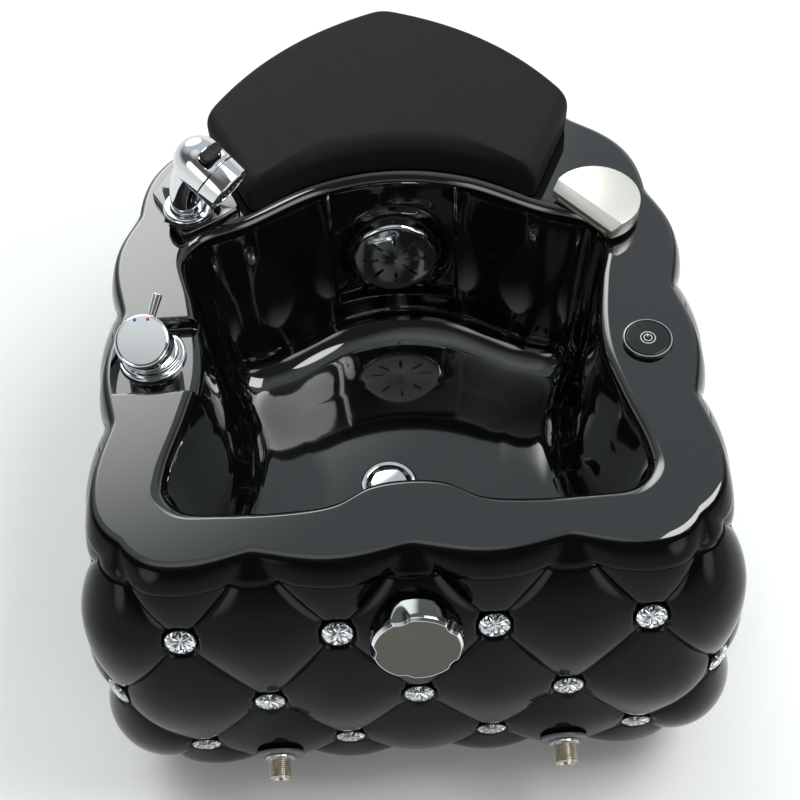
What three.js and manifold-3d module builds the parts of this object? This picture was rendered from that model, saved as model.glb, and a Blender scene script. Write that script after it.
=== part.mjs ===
// Pedicure spa foot basin: a free-standing tub with a tufted outer shell, a foot pad, a mixer,
// a pull-out hand shower, a waterfall spout, a massage jet and a pop-up drain.
// Millimetres. X is to the right, Y to the back, Z up. The origin is on the floor at the
// middle of the footprint.

import * as THREE from "three";
import { mergeVertices } from "three/addons/utils/BufferGeometryUtils.js";
import Module from "manifold-3d";

const wasm = await Module();
wasm.setup();

// ---------------------------------------------------------------- driving dimensions

const SEAT = 0.3; // clearance between pieces that rest on each other
const RIM_HEIGHT = 345; // deck above the floor
const FRONT_Y = -295.7; // the rim's valleys at the front

// Plan of the rim, on the line through its valleys. "At" values count back from the front.
const HALF_WIDTH = 246;
const FRONT_CORNER_RADIUS = 52;
const SHOULDER_AT = 398; // where the side would meet the slanting back
const SHOULDER_RADIUS = 220;
const APEX_AT = 696; // where the two slanting backs would meet
const APEX_RADIUS = 98;

// The belly of the skirt stands out from the rim by these amounts.
const BELLY_FRONT = 55;
const BELLY_SIDE = 28;
const BELLY_BACK = 30;
const BELLY_CORNER_RADIUS = 60;
const BELLY_DEPTH = 197; // belly below the rim
const BELLY_FULLNESS = 2.4; // power of the side profile

// Diamond tufting: sixteen columns, rows of buttons at these depths below the rim.
const TUFT_COLUMNS = 16;
const RIM_FRONT_PITCH = 126;
const BELLY_FRONT_PITCH = 127;
const SHOULDER_NOTCH = 55; // shoulder valley after the start of the shoulder curve
const TUFT_ROW_DEPTHS = [0, 70, 157, 241, 319];
const PUFF_RIM = 10.5;
const PUFF_BODY = 15;
const PUFF_POWER = 0.6;
const SKIRT_WALL = 5;
const SKIRT_GROUND_GAP = 8;
const LIP_DEPTH = 20; // the deck's lip comes down this far over the skirt

// Deck and bowl.
const SHELL_WALL = 5;
const BASIN_JOINT_DEPTH = 25; // deck and bowl meet this far down
const NOSE_RADIUS = 4;
const BOWL_DEPTH = 200;
const BOWL_CENTRE_AT = 215;
const PANEL_HALF_WIDTH = 62;
const PANEL_RECESS = 4;

// Crystal buttons.
const CRYSTAL_RADIUS = 13;
const CRYSTAL_TABLE = 7.5;
const CRYSTAL_HEIGHT = 6;
const CRYSTAL_SEAT = 1; // pocket floor above the valley

// Foot pad.
const PAD_THICKNESS = 38;
const PAD_FRONT_RADIUS = 205;
const PAD_FRONT_AT = 416.5;
const PAD_FRONT_HALF = 134;
const PAD_CORNER_FROM_SIDE = 68;
const PAD_CORNER_AT = 470;
const PAD_BACK_RADIUS = 311;
const PAD_BACK_AT = 619;
const PAD_EDGE = 9;
const PAD_CROWN = 4;

// Mixer, on its sunk platform.
const MIXER_FROM_SIDE = 26.5;
const MIXER_AT = 212;
const PLATFORM_DROP = 14;
const PLATFORM_FRONT_AT = 163;
const PLATFORM_BACK_AT = 243;
const PLATFORM_INSET = 4; // from the rim's outer edge
const MIXER_RING_RADIUS = 30;
const MIXER_RING_HEIGHT = 8.5;
const MIXER_BALL_RADIUS = 21;
const MIXER_BALL_HEIGHT = 9; // ball centre above the platform
const CAP_RADIUS = 24;
const CAP_TOP = 40; // cap face from the ball centre
const CAP_SKIRT = 12; // cap's lower edge from the ball centre
const CAP_TILT = 27; // degrees, water on
const LEVER_RADIUS = 3.6;
const LEVER_LENGTH = 24;
const LEVER_TURN = -17; // degrees off the cap's back
const VALVE_RADIUS = 16;
const VALVE_LENGTH = 66;
const PORT_DROP = 54; // ports below the platform
const PORT_REACH = 28; // port ends from the valve's axis
const PORT_ANGLES = { hot: -110, cold: -70, shower: 62, spout: 112 }; // degrees from +X

// Hand shower, on its raised platform.
const SHOWER_FROM_SIDE = 55.5;
const SHOWER_AT = 366;
const DOCK_RISE = 8;
const COLLAR_RADIUS = 22;
const COLLAR_HEIGHT = 5;
const DOCK_RING_RADIUS = 23.7;
const DOCK_RING_HEIGHT = 7;
const STEM_RADIUS = 16;
const STEM_TOP_RADIUS = 12;
const STEM_RISE = 89; // stem's top above the deck
const GUIDE_RADIUS = 19;
const GUIDE_BORE = 16.5;
const GUIDE_LENGTH = 62;
const HEAD_RADIUS = 23.5;
const HEAD_LENGTH = 60;
const HEAD_RING_LENGTH = 18;
const HEAD_TURN = -37.6; // degrees from +X
const HEAD_DIP = 29.4; // degrees below level
const HEAD_REACH = 28; // dome centre ahead of the stem
const HEAD_HEIGHT = 88; // dome centre above the deck
const SPRAY_BUTTON_LENGTH = 25;
const SPRAY_BUTTON_WIDTH = 13;
const SPRAY_BUTTON_RISE = 3.5;
const SPRAY_BUTTON_BACK = 35; // button from the head's face
const NOZZLES = 8;
const HOSE_RADIUS = 7;
const HOSE_END_LENGTH = 120;
const HOSE_SIDES = 6;
const HOSE_STEP = 38; // length of one straight piece of a hose
const CABLE_RADIUS = 3;
const LEAD_RADIUS = 2.5;

// Waterfall spout.
const SPOUT_FROM_SIDE = 57.7;
const SPOUT_AT = 345.6;
const SPOUT_RADIUS = 41;
const SPOUT_FLAT = 18; // straight edge ahead of the disc's centre
const SPOUT_TURN = 219; // degrees, the way the water leaves
const SPOUT_THICKNESS = 15;
const SPOUT_RISE = 6; // body above the deck, on its gasket
const SPOUT_SLOT_HALF = 30;
const SPOUT_SLOT_HEIGHT = 3.2;
const SPOUT_SHANK_RADIUS = 10;
const SPOUT_SHANK_BACK = 20; // shank behind the disc's centre
const SPOUT_SHANK_LENGTH = 46;

// Power button on the right deck.
const POWER_FROM_SIDE = 32;
const POWER_AT = 188;
const POWER_BEZEL_RADIUS = 22;
const POWER_CAP_RADIUS = 19;
const POWER_HEIGHT = 4.2;
const POWER_BARREL_RADIUS = 14;
const POWER_BARREL_LENGTH = 34;

// Drain knob at the middle of the front.
const KNOB_DEPTH = 57; // below the rim
const KNOB_TILT = 12.5; // degrees, facing up
const KNOB_RADIUS = 38;
const KNOB_THICKNESS = 21;
const KNOB_LOBES = 5;
const KNOB_FIRST_LOBE = 37; // degrees, from +X
const SCOOP_RADIUS = 13; // of the flutes between the lobes
const SCOOP_DEPTH = 4.5; // at the face
const SCOOP_LEAN = 22; // degrees, so that a flute runs out before the base
const KNOB_BUSH_RADIUS = 12;

// Supply inlets low on the front.
const INLET_X = 127;
const INLET_DEPTH = 242;
const INLET_DIP = 12; // degrees
const THREAD_RADIUS = 10.48;
const THREAD_LENGTH = 20;
const INLET_BORE = 7.5;
const NIPPLE_INNER = 46; // nipple's inner end behind its seat
const WASHER_RADIUS = 21.5;
const WASHER_THICKNESS = 3;

// Jet in the back wall.
const JET_DEPTH = 97;
const JET_TILT = 5;
const JET_RADIUS = 43;
const JET_HEIGHT = 17;
const JET_WALL = 2.4;
const JET_SLOTS = 8;
const JET_HOLE_RADIUS = 27;
const IMPELLER_RADIUS = 30;
const MOTOR_RADIUS = 36;
const MOTOR_LENGTH = 58;

// Drain.
const DRAIN_X = -18;
const DRAIN_AT = 185;
const DRAIN_FLANGE_RADIUS = 28;
const DRAIN_BORE = 20;
const PLUG_RADIUS = 22;
const DRAIN_BODY_RADIUS = 24;
const DRAIN_BODY_LENGTH = 70;
const WASTE_RADIUS = 20;
const WASTE_BORE = 17;

// Base.
const BOARD_THICKNESS = 15;
const SERVICE_HALF = 152; // opening in the board, for the waste and for service
const SERVICE_FRONT_AT = 145;
const SERVICE_BACK_AT = 440;
const SERVICE_CORNER = 30;
const FOOT_RADIUS = 25;
const FOOT_HEIGHT = 12;
const FOOT_FROM_SIDE = 66;
const FOOT_FRONT_AT = 40;
const FOOT_BACK_AT = 420;
const CONTROL_BOX = [130, 90, 62];
const CONTROL_BOX_AT = 520;

// ---------------------------------------------------------------- small helpers

const radians = THREE.MathUtils.degToRad;
const lerp = THREE.MathUtils.lerp;
const fromFront = (distance) => FRONT_Y + distance;
const fromSide = (distance) => HALF_WIDTH - distance;

function material(color, roughness, metalness = 0) {
  return new THREE.MeshStandardMaterial({ color, roughness, metalness });
}

const GELCOAT = material(0x0b0c0d, 0.08);
const FOAM = material(0x2b2b29, 0.7);
const CHROME = material(0xd9dbdc, 0.08, 1);
const CRYSTAL = material(0xe6ecef, 0.05);
const BLACK_PLASTIC = material(0x121314, 0.3);
const NICKEL = material(0xa59c90, 0.3, 1);
const BRASS = material(0xb08d4f, 0.35, 1);
const RUBBER = material(0x1c1c1c, 0.9);
const GREY_PLASTIC = material(0x8b8e90, 0.5);
const WHITE_PLASTIC = material(0xd8d8d4, 0.5);
const BRAID = material(0x9a9c9e, 0.4, 1);
const BOARD = material(0x4a4038, 0.8);

// A closed triangle mesh as a solid, turned so that its faces point out.
function toSolid(geometry) {
  const bare = new THREE.BufferGeometry();
  bare.setAttribute("position", geometry.getAttribute("position"));
  if (geometry.index) bare.setIndex(geometry.index);
  const merged = mergeVertices(bare, 1e-4);
  const corners = merged.index.array;
  const kept = [];
  for (let i = 0; i < corners.length; i += 3) {
    const [a, b, c] = corners.slice(i, i + 3);
    if (a !== b && b !== c && c !== a) kept.push(a, b, c);
  }
  const build = (list) =>
    new wasm.Manifold(
      new wasm.Mesh({
        numProp: 3,
        vertProperties: new Float32Array(merged.attributes.position.array),
        triVerts: new Uint32Array(list),
      }),
    );
  const solid = build(kept);
  if (solid.volume() > 0) return solid;
  return build(kept.slice().reverse());
}

function toGeometry(solid) {
  const mesh = solid.getMesh();
  const geometry = new THREE.BufferGeometry();
  const positions = [];
  for (let i = 0; i < mesh.numVert; i++) {
    const at = i * mesh.numProp;
    positions.push(...mesh.vertProperties.slice(at, at + 3));
  }
  geometry.setAttribute("position", new THREE.Float32BufferAttribute(positions, 3));
  geometry.setIndex(Array.from(mesh.triVerts));
  geometry.computeVertexNormals();
  return geometry;
}

function join(first, ...rest) {
  return toGeometry(rest.reduce((sum, g) => sum.add(toSolid(g)), toSolid(first)));
}

function cut(first, ...rest) {
  return toGeometry(rest.reduce((sum, g) => sum.subtract(toSolid(g)), toSolid(first)));
}

function common(first, second) {
  return toGeometry(toSolid(first).intersect(toSolid(second)));
}

// A profile of [radius, height] points turned round the Z axis.
function turned(profile, sides = 18) {
  const points = profile.map(([radius, height]) => new THREE.Vector2(radius, height));
  const geometry = new THREE.LatheGeometry(points, sides);
  geometry.rotateX(Math.PI / 2);
  return toGeometry(toSolid(geometry));
}

function rod(radius, low, high, sides = 18) {
  return turned([[0, low], [radius, low], [radius, high], [0, high]], sides);
}

function tube(radius, bore, low, high, sides = 18) {
  return turned([[bore, low], [radius, low], [radius, high], [bore, high], [bore, low]], sides);
}

// A hexagonal nut over a round shank.
function nut(radius, bore, low, high) {
  return cut(rod(radius, low, high, 6), rod(bore, low - 1, high + 1));
}

function box(x, y, z, at = [0, 0, 0]) {
  return new THREE.BoxGeometry(x, y, z).translate(...at);
}

function prism(outline, low, high) {
  const shape = new THREE.Shape(outline);
  const geometry = new THREE.ExtrudeGeometry(shape, {
    depth: high - low,
    bevelEnabled: false,
    curveSegments: 12,
  });
  return geometry.translate(0, 0, low);
}

// A solid through closed rings of the same number of points, each end closed to its middle.
function loft(rings) {
  const count = rings[0].length;
  const positions = rings.flat().flatMap((p) => [p.x, p.y, p.z]);
  const index = [];
  for (let r = 0; r + 1 < rings.length; r++) {
    for (let i = 0; i < count; i++) {
      const a = r * count + i;
      const b = r * count + ((i + 1) % count);
      index.push(a, b, b + count, a, b + count, a + count);
    }
  }
  const cap = (ring, start, flip) => {
    const middle = ring.reduce((sum, p) => sum.add(p), new THREE.Vector3()).divideScalar(count);
    const centre = positions.length / 3;
    positions.push(middle.x, middle.y, middle.z);
    for (let i = 0; i < count; i++) {
      const [a, b] = [start + i, start + ((i + 1) % count)];
      index.push(centre, flip ? b : a, flip ? a : b);
    }
  };
  cap(rings[0], 0, true);
  cap(rings.at(-1), (rings.length - 1) * count, false);
  const geometry = new THREE.BufferGeometry();
  geometry.setAttribute("position", new THREE.Float32BufferAttribute(positions, 3));
  geometry.setIndex(index);
  return geometry;
}

// A hose along a smooth curve through points [x, y, z].
function hose(points, radius, spacing = HOSE_STEP) {
  const curve = new THREE.CatmullRomCurve3(
    points.map((p) => new THREE.Vector3(...p)),
    false,
    "centripetal",
  );
  const section = new THREE.Shape();
  section.absarc(0, 0, radius, 0, 2 * Math.PI);
  const ring = section.getSpacedPoints(HOSE_SIDES).slice(0, HOSE_SIDES);
  return new THREE.ExtrudeGeometry(new THREE.Shape(ring), {
    steps: Math.round(curve.getLength() / spacing),
    extrudePath: curve,
    bevelEnabled: false,
  });
}

// A closed outline of straight lines with rounded corners [x, y, radius], anticlockwise,
// that starts at the middle of its first side.
function roundedPath(corners) {
  const path = new THREE.Path();
  const at = (i) => corners[(i + corners.length) % corners.length];
  const point = (c) => new THREE.Vector2(c[0], c[1]);
  const start = point(at(0)).add(point(at(1))).multiplyScalar(0.5);
  path.moveTo(start.x, start.y);
  for (let i = 1; i <= corners.length; i++) {
    const before = point(at(i - 1)).sub(point(at(i))).normalize();
    const after = point(at(i + 1)).sub(point(at(i))).normalize();
    const half = before.angleTo(after) / 2;
    const radius = at(i)[2];
    const tangent = radius / Math.tan(half);
    const from = before.clone().multiplyScalar(tangent).add(point(at(i)));
    const to = after.clone().multiplyScalar(tangent).add(point(at(i)));
    const centre = before.clone().add(after).normalize();
    centre.multiplyScalar(radius / Math.sin(half)).add(point(at(i)));
    path.lineTo(from.x, from.y);
    const angle = (p) => Math.atan2(p.y - centre.y, p.x - centre.x);
    path.absarc(centre.x, centre.y, radius, angle(from), angle(to), false);
  }
  path.lineTo(start.x, start.y);
  return path;
}

const footSpa = new THREE.Group();

function piece(name, geometry, finish, parent = footSpa) {
  const mesh = new THREE.Mesh(geometry, finish);
  mesh.name = name;
  parent.add(mesh);
  return mesh;
}

function placed(parent, position, rotation = [0, 0, 0], order = "XYZ") {
  const group = new THREE.Group();
  group.position.set(...position);
  group.rotation.set(...rotation.map(radians), order);
  parent.add(group);
  return group;
}

// Places of the fittings, tied to the tub's front and sides.
const mixerX = -fromSide(MIXER_FROM_SIDE);
const showerX = -fromSide(SHOWER_FROM_SIDE);
const spoutX = fromSide(SPOUT_FROM_SIDE);
const powerX = fromSide(POWER_FROM_SIDE);
const padCornerX = fromSide(PAD_CORNER_FROM_SIDE);

// ---------------------------------------------------------------- tub outlines

// The rim's plan moved outwards: front, side and slanting back each by their own amount.
function tubPath(front, side, back, cornerRadius) {
  const slant = new THREE.Vector2(-HALF_WIDTH, APEX_AT - SHOULDER_AT).normalize();
  const normal = new THREE.Vector2(slant.y, -slant.x);
  const backAt = (x) => SHOULDER_AT + (back - normal.x * (x - HALF_WIDTH)) / normal.y;
  const wide = HALF_WIDTH + side;
  const shoulder = [fromFront(backAt(wide)), SHOULDER_RADIUS + (side + back) / 2];
  return roundedPath([
    [-wide, fromFront(-front), cornerRadius],
    [wide, fromFront(-front), cornerRadius],
    [wide, ...shoulder],
    [0, fromFront(backAt(0)), APEX_RADIUS + back],
    [-wide, ...shoulder],
  ]);
}

// Where each tuft column's valley lies along an outline, from the middle of the front.
function valleyArcs(path, front, side, back, cornerRadius, frontPitch) {
  const straight = HALF_WIDTH + side - cornerRadius;
  const line = path.curves[2];
  const shoulderStart = straight + (cornerRadius * Math.PI) / 2 + line.getLength();
  const grown = (SHOULDER_RADIUS + (side + back) / 2) / SHOULDER_RADIUS;
  return [
    [0, 0],
    [1, frontPitch],
    [2, straight + (cornerRadius * Math.PI) / 4],
    [5, shoulderStart + SHOULDER_NOTCH * grown],
    [8, path.getLength() / 2],
  ];
}

function outlineOf(front, side, back, cornerRadius, frontPitch) {
  const path = tubPath(front, side, back, cornerRadius);
  const knots = valleyArcs(path, front, side, back, cornerRadius, frontPitch);
  const length = path.getLength();
  const arcAt = (column) => {
    const next = knots.findIndex(([u]) => u >= column);
    if (next <= 0) return 0;
    const [u0, s0] = knots[next - 1];
    const [u1, s1] = knots[next];
    return lerp(s0, s1, (column - u0) / (u1 - u0));
  };
  return (column) => {
    const mirrored = column > TUFT_COLUMNS / 2;
    const arc = arcAt(mirrored ? TUFT_COLUMNS - column : column);
    const side = mirrored ? -1 : 1;
    const point = path.getPoint(arc / length);
    const tangent = path.getTangent(arc / length);
    return {
      point: new THREE.Vector2(side * point.x, point.y),
      normal: new THREE.Vector2(side * tangent.y, -tangent.x),
    };
  };
}

const rimAt = outlineOf(0, 0, 0, FRONT_CORNER_RADIUS, RIM_FRONT_PITCH);
const bellyAt = outlineOf(
  BELLY_FRONT,
  BELLY_SIDE,
  BELLY_BACK,
  BELLY_CORNER_RADIUS,
  BELLY_FRONT_PITCH,
);

// How far the side has swelled from rim (0) to belly (1) at a depth below the rim.
function swell(depth) {
  const reach = depth < BELLY_DEPTH ? BELLY_DEPTH : RIM_HEIGHT - BELLY_DEPTH;
  const off = Math.min(1, Math.abs(depth - BELLY_DEPTH) / reach);
  return (1 - off ** BELLY_FULLNESS) ** 0.8;
}

// Tuft rows count 0 at the rim, then half a row for each line of buttons.
function rowAt(depth) {
  const last = TUFT_ROW_DEPTHS.length - 1;
  const below = TUFT_ROW_DEPTHS.findIndex((d) => d > depth);
  const i = below < 0 ? last : below;
  const [high, low] = [TUFT_ROW_DEPTHS[i - 1], TUFT_ROW_DEPTHS[i]];
  return (i - 1 + (depth - high) / (low - high)) / 2;
}

function depthAt(row) {
  const i = Math.min(Math.floor(row * 2), TUFT_ROW_DEPTHS.length - 2);
  return lerp(TUFT_ROW_DEPTHS[i], TUFT_ROW_DEPTHS[i + 1], row * 2 - i);
}

// Height of the cushion between the seams, 0 on a seam and 1 at a diamond's middle.
function puff(column, row) {
  const a = Math.abs(Math.sin(Math.PI * (column + row)));
  const b = Math.abs(Math.sin(Math.PI * (column - row)));
  return (a * b) ** PUFF_POWER;
}

// A point of the tufted surface, moved in by inset. Without tufts it lies on the valleys.
function skirtPoint(column, depth, inset = 0, tufted = true) {
  const rim = rimAt(column);
  const belly = bellyAt(column);
  const share = swell(depth);
  const height = lerp(PUFF_RIM, PUFF_BODY, Math.min(1, depth / TUFT_ROW_DEPTHS[1]));
  const out = (tufted ? height * puff(column, rowAt(depth)) : 0) - inset;
  const normal = rim.normal.clone().lerp(belly.normal, share).normalize();
  const point = rim.point.clone().lerp(belly.point, share).addScaledVector(normal, out);
  return new THREE.Vector3(point.x, point.y, RIM_HEIGHT - depth);
}

// Outward direction of the surface without its tufts.
function skirtNormal(column, depth) {
  const belly = bellyAt(column);
  const step = 4;
  const low = rimAt(column).point.lerp(belly.point, swell(depth + step));
  const high = rimAt(column).point.lerp(belly.point, swell(depth - step));
  const rise = low.sub(high).dot(belly.normal) / (2 * step);
  return new THREE.Vector3(belly.normal.x, belly.normal.y, rise).normalize();
}

// ---------------------------------------------------------------- skirt

const STEPS = 4; // grid steps per tuft, the same along and down
const SKIRT_COLUMNS = TUFT_COLUMNS * STEPS;
const boardLow = FOOT_HEIGHT + SEAT;
const boardTop = boardLow + BOARD_THICKNESS;

function skirtRing(depth, inset = 0, tufted = true) {
  const point = (_, i) => skirtPoint(i / STEPS, depth, inset, tufted);
  return Array.from({ length: SKIRT_COLUMNS }, point);
}

function skirtShell() {
  const top = LIP_DEPTH + SEAT;
  const bottom = RIM_HEIGHT - SKIRT_GROUND_GAP;
  const rows = Array.from({ length: 2 * STEPS }, (_, i) => depthAt((i + 1) / STEPS));
  const outer = [top, ...rows, bottom];
  const inner = [bottom, RIM_HEIGHT - boardTop, BELLY_DEPTH, BELLY_DEPTH / 3, top];
  const rings = [
    ...outer.map((depth) => skirtRing(depth)),
    ...inner.map((depth) => skirtRing(depth, SKIRT_WALL, false)),
  ];
  const positions = rings.flat().flatMap((p) => [p.x, p.y, p.z]);
  const index = [];
  for (let r = 0; r < rings.length; r++) {
    for (let i = 0; i < SKIRT_COLUMNS; i++) {
      const next = (r + 1) % rings.length;
      const a = r * SKIRT_COLUMNS + i;
      const b = r * SKIRT_COLUMNS + ((i + 1) % SKIRT_COLUMNS);
      const c = next * SKIRT_COLUMNS + ((i + 1) % SKIRT_COLUMNS);
      const d = next * SKIRT_COLUMNS + i;
      // The diagonal follows the seams, which cross the grid at 45 degrees.
      const column = (i + 0.5) / STEPS;
      const row = (r + 0.5) / STEPS;
      const falling = Math.abs(Math.sin(Math.PI * (column - row)));
      const rising = Math.abs(Math.sin(Math.PI * (column + row)));
      if (falling < rising) index.push(a, c, b, a, d, c);
      else index.push(a, d, b, b, d, c);
    }
  }
  const geometry = new THREE.BufferGeometry();
  geometry.setAttribute("position", new THREE.Float32BufferAttribute(positions, 3));
  geometry.setIndex(index);
  return geometry;
}

// Moves a shape whose base is at z = 0 onto the skirt, facing out.
function onSkirt(geometry, column, depth, lift = 0) {
  const normal = skirtNormal(column, depth);
  const turn = new THREE.Quaternion().setFromUnitVectors(new THREE.Vector3(0, 0, 1), normal);
  const at = skirtPoint(column, depth).addScaledVector(normal, lift);
  return geometry.clone().applyQuaternion(turn).translate(at.x, at.y, at.z);
}

function crystal(sides = 8) {
  return turned(
    [
      [0, 0],
      [CRYSTAL_RADIUS, 0],
      [CRYSTAL_RADIUS, 1.5],
      [CRYSTAL_TABLE, CRYSTAL_HEIGHT],
      [0, CRYSTAL_HEIGHT],
    ],
    sides,
  );
}

// Every button of the three rows, with its column, row depth and name if it shows in front.
function buttonPlaces() {
  const places = [];
  for (const [index, letter] of ["a", "b", "c"].entries()) {
    const depth = TUFT_ROW_DEPTHS[index + 1];
    const shift = index % 2 === 0 ? 0.5 : 0;
    for (let i = 0; i < TUFT_COLUMNS; i++) {
      const column = i + shift;
      const fromMiddle = column > TUFT_COLUMNS / 2 ? column - TUFT_COLUMNS : column;
      const front = Math.abs(fromMiddle) < 1.9;
      const order = Math.round(fromMiddle + (shift ? 2.5 : 2));
      places.push({ column, depth, front, name: `crystal_${letter}${order}` });
    }
  }
  return places;
}

const buttons = buttonPlaces();

const knobNormal = new THREE.Vector3(0, -Math.cos(radians(KNOB_TILT)), Math.sin(radians(KNOB_TILT)));
const knobSeat = skirtPoint(0, KNOB_DEPTH);
const inletNormal = new THREE.Vector3(
  0,
  -Math.cos(radians(INLET_DIP)),
  -Math.sin(radians(INLET_DIP)),
);
const inletSeat = (side) => {
  const at = skirtPoint(side > 0 ? 1 : TUFT_COLUMNS - 1, INLET_DEPTH);
  at.x = side * INLET_X;
  return at;
};

// A shape along +Z moved to a point and turned along a direction.
function along(geometry, point, direction) {
  const turn = new THREE.Quaternion().setFromUnitVectors(
    new THREE.Vector3(0, 0, 1),
    direction.clone().normalize(),
  );
  return geometry.clone().applyQuaternion(turn).translate(point.x, point.y, point.z);
}

const pocket = rod(CRYSTAL_RADIUS + SEAT, CRYSTAL_SEAT, 30, 8);
const pockets = buttons.filter((b) => b.front).map((b) => onSkirt(pocket, b.column, b.depth));
const stud = turned(
  [
    [0, 1 - SKIRT_WALL],
    [CRYSTAL_RADIUS + 3, 1 - SKIRT_WALL],
    [CRYSTAL_TABLE, CRYSTAL_HEIGHT],
    [0, CRYSTAL_HEIGHT],
  ],
  4,
);
const fused = buttons.filter((b) => !b.front).map((b) => onSkirt(stud, b.column, b.depth));
const knobSpot = [
  along(rod(KNOB_RADIUS + 3, -1, 40), knobSeat, knobNormal),
  along(rod(KNOB_BUSH_RADIUS + SEAT, -60, 20, 16), knobSeat, knobNormal),
];
const inletSpots = [-1, 1].flatMap((side) => [
  along(rod(WASHER_RADIUS + 3, -1, 40, 16), inletSeat(side), inletNormal),
  along(rod(THREAD_RADIUS + SEAT, -60, 20, 16), inletSeat(side), inletNormal),
]);
const skirt = cut(join(skirtShell(), ...fused), ...pockets, ...knobSpot, ...inletSpots);
piece("tufted_skirt", skirt, GELCOAT);

for (const button of buttons.filter((b) => b.front)) {
  const stone = onSkirt(crystal(), button.column, button.depth, CRYSTAL_SEAT + SEAT);
  piece(button.name, stone, CRYSTAL);
}

// ---------------------------------------------------------------- basin

// Half of the bowl's edge, from the hump at the front to the middle of the back: [x, at].
const BOWL_EDGE = [
  [0, 57],
  [30, 53],
  [58, 38],
  [88, 33],
  [150, 33],
  [fromSide(60), 37],
  [fromSide(42), 56],
  [fromSide(42), 80],
  [fromSide(56), 135],
  [fromSide(65), 180],
  [fromSide(65), 215],
  [fromSide(57), 268],
  [fromSide(47), 316],
  [fromSide(57), 343],
  [PAD_FRONT_HALF + 8, 364],
  [70, PAD_FRONT_AT - 13],
];

const BOWL_COLUMNS = 48;
const bowlCurve = new THREE.CatmullRomCurve3(
  [
    ...BOWL_EDGE,
    [0, PAD_FRONT_AT],
    ...BOWL_EDGE.slice(1).reverse().map(([x, at]) => [-x, at]),
  ].map(([x, at]) => new THREE.Vector3(x, fromFront(at), 0)),
  true,
  "centripetal",
);
const bowlEdge = bowlCurve.getSpacedPoints(BOWL_COLUMNS).slice(0, BOWL_COLUMNS);

// The bowl's side profile: depth below the deck and share of the edge's size.
const BOWL_PROFILE = [
  [-2, 1.0],
  [0, 1.0],
  [2, 0.985],
  [7, 0.97],
  [16, 0.96],
  [130, 0.915],
  [166, 0.885],
  [187, 0.83],
  [197, 0.73],
  [BOWL_DEPTH, 0.5],
];

function bowlRing(depth, share, wall) {
  const grow = share + wall / HALF_WIDTH;
  return bowlEdge.map((p) => {
    const centre = fromFront(BOWL_CENTRE_AT);
    const point = new THREE.Vector3(p.x * grow, centre + (p.y - centre) * grow, 0);
    const panel = p.y > centre + 100 && Math.abs(p.x) < PANEL_HALF_WIDTH;
    if (panel && depth > 10 && depth < BOWL_DEPTH - 50) point.y += PANEL_RECESS;
    point.z = RIM_HEIGHT - depth - (depth > 0 ? wall : 0);
    return point;
  });
}

function bowlSolid(wall) {
  const rings = BOWL_PROFILE.map(([depth, share]) => bowlRing(depth, share, wall));
  const kept = wall ? rings.slice(2) : rings;
  if (wall) kept.unshift(bowlRing(3, 0.975, wall));
  return loft(kept.reverse());
}

function deckShell() {
  const under = SHELL_WALL;
  return loft([
    skirtRing(under, SHELL_WALL + 3),
    skirtRing(LIP_DEPTH, SHELL_WALL + 1),
    skirtRing(LIP_DEPTH, 0),
    skirtRing(NOSE_RADIUS, 0),
    skirtRing(NOSE_RADIUS * 0.3, NOSE_RADIUS * 0.3),
    skirtRing(0, NOSE_RADIUS),
  ]);
}

const platformY = [fromFront(PLATFORM_FRONT_AT), fromFront(PLATFORM_BACK_AT)];
const platformMiddle = (platformY[0] + platformY[1]) / 2;
const platformLong = platformY[1] - platformY[0];
const platformZ = RIM_HEIGHT - PLATFORM_DROP;
const platformX = [-HALF_WIDTH - PUFF_RIM, mixerX + MIXER_RING_RADIUS * 2];

// The sunk platform's space, open to the bowl and kept inside the rim's edge by an inset.
function mixerRecess(grow, low, high, inset) {
  const wide = platformX[1] - platformX[0];
  const middle = (platformX[0] + platformX[1]) / 2;
  const block = box(wide + 2 * grow, platformLong + 2 * grow, high - low, [
    middle,
    platformMiddle,
    (low + high) / 2,
  ]);
  const rim = skirtRing(0, inset);
  const at = (z) => rim.map((p) => new THREE.Vector3(p.x, p.y, z));
  return common(block, loft([at(low - 1), at(high + 1)]));
}

// Raised platform under the hand shower, from the deck's step to the pad's side.
function dockPlatform() {
  const corners = [
    [-fromSide(17), 396],
    [-fromSide(42), 353],
    [-fromSide(51), 338],
    [-fromSide(88), 360],
    [-PAD_FRONT_HALF - 9, 371],
    [-padCornerX - 7, PAD_CORNER_AT + 2],
    [-fromSide(38), 440],
  ].map(([x, at]) => new THREE.Vector2(x, fromFront(at)));
  const low = RIM_HEIGHT - SHELL_WALL / 2;
  return prism(corners, low, RIM_HEIGHT + DOCK_RISE);
}

const deckHole = (x, at, radius) =>
  rod(radius, RIM_HEIGHT - 60, RIM_HEIGHT + 30).translate(x, fromFront(at), 0);

const spoutTurn = radians(SPOUT_TURN);
const shankX = spoutX - SPOUT_SHANK_BACK * Math.cos(spoutTurn);
const shankAt = SPOUT_AT - SPOUT_SHANK_BACK * Math.sin(spoutTurn);

// Point of the back panel at the jet's height.
const jetSeat = new THREE.Vector3(
  0,
  fromFront(BOWL_CENTRE_AT) + (PAD_FRONT_AT - BOWL_CENTRE_AT) * 0.93 + PANEL_RECESS,
  RIM_HEIGHT - JET_DEPTH,
);
const jetNormal = new THREE.Vector3(0, -Math.cos(radians(JET_TILT)), Math.sin(radians(JET_TILT)));
const floorZ = RIM_HEIGHT - BOWL_DEPTH;
const drainPoint = new THREE.Vector3(DRAIN_X, fromFront(DRAIN_AT), floorZ);

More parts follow.
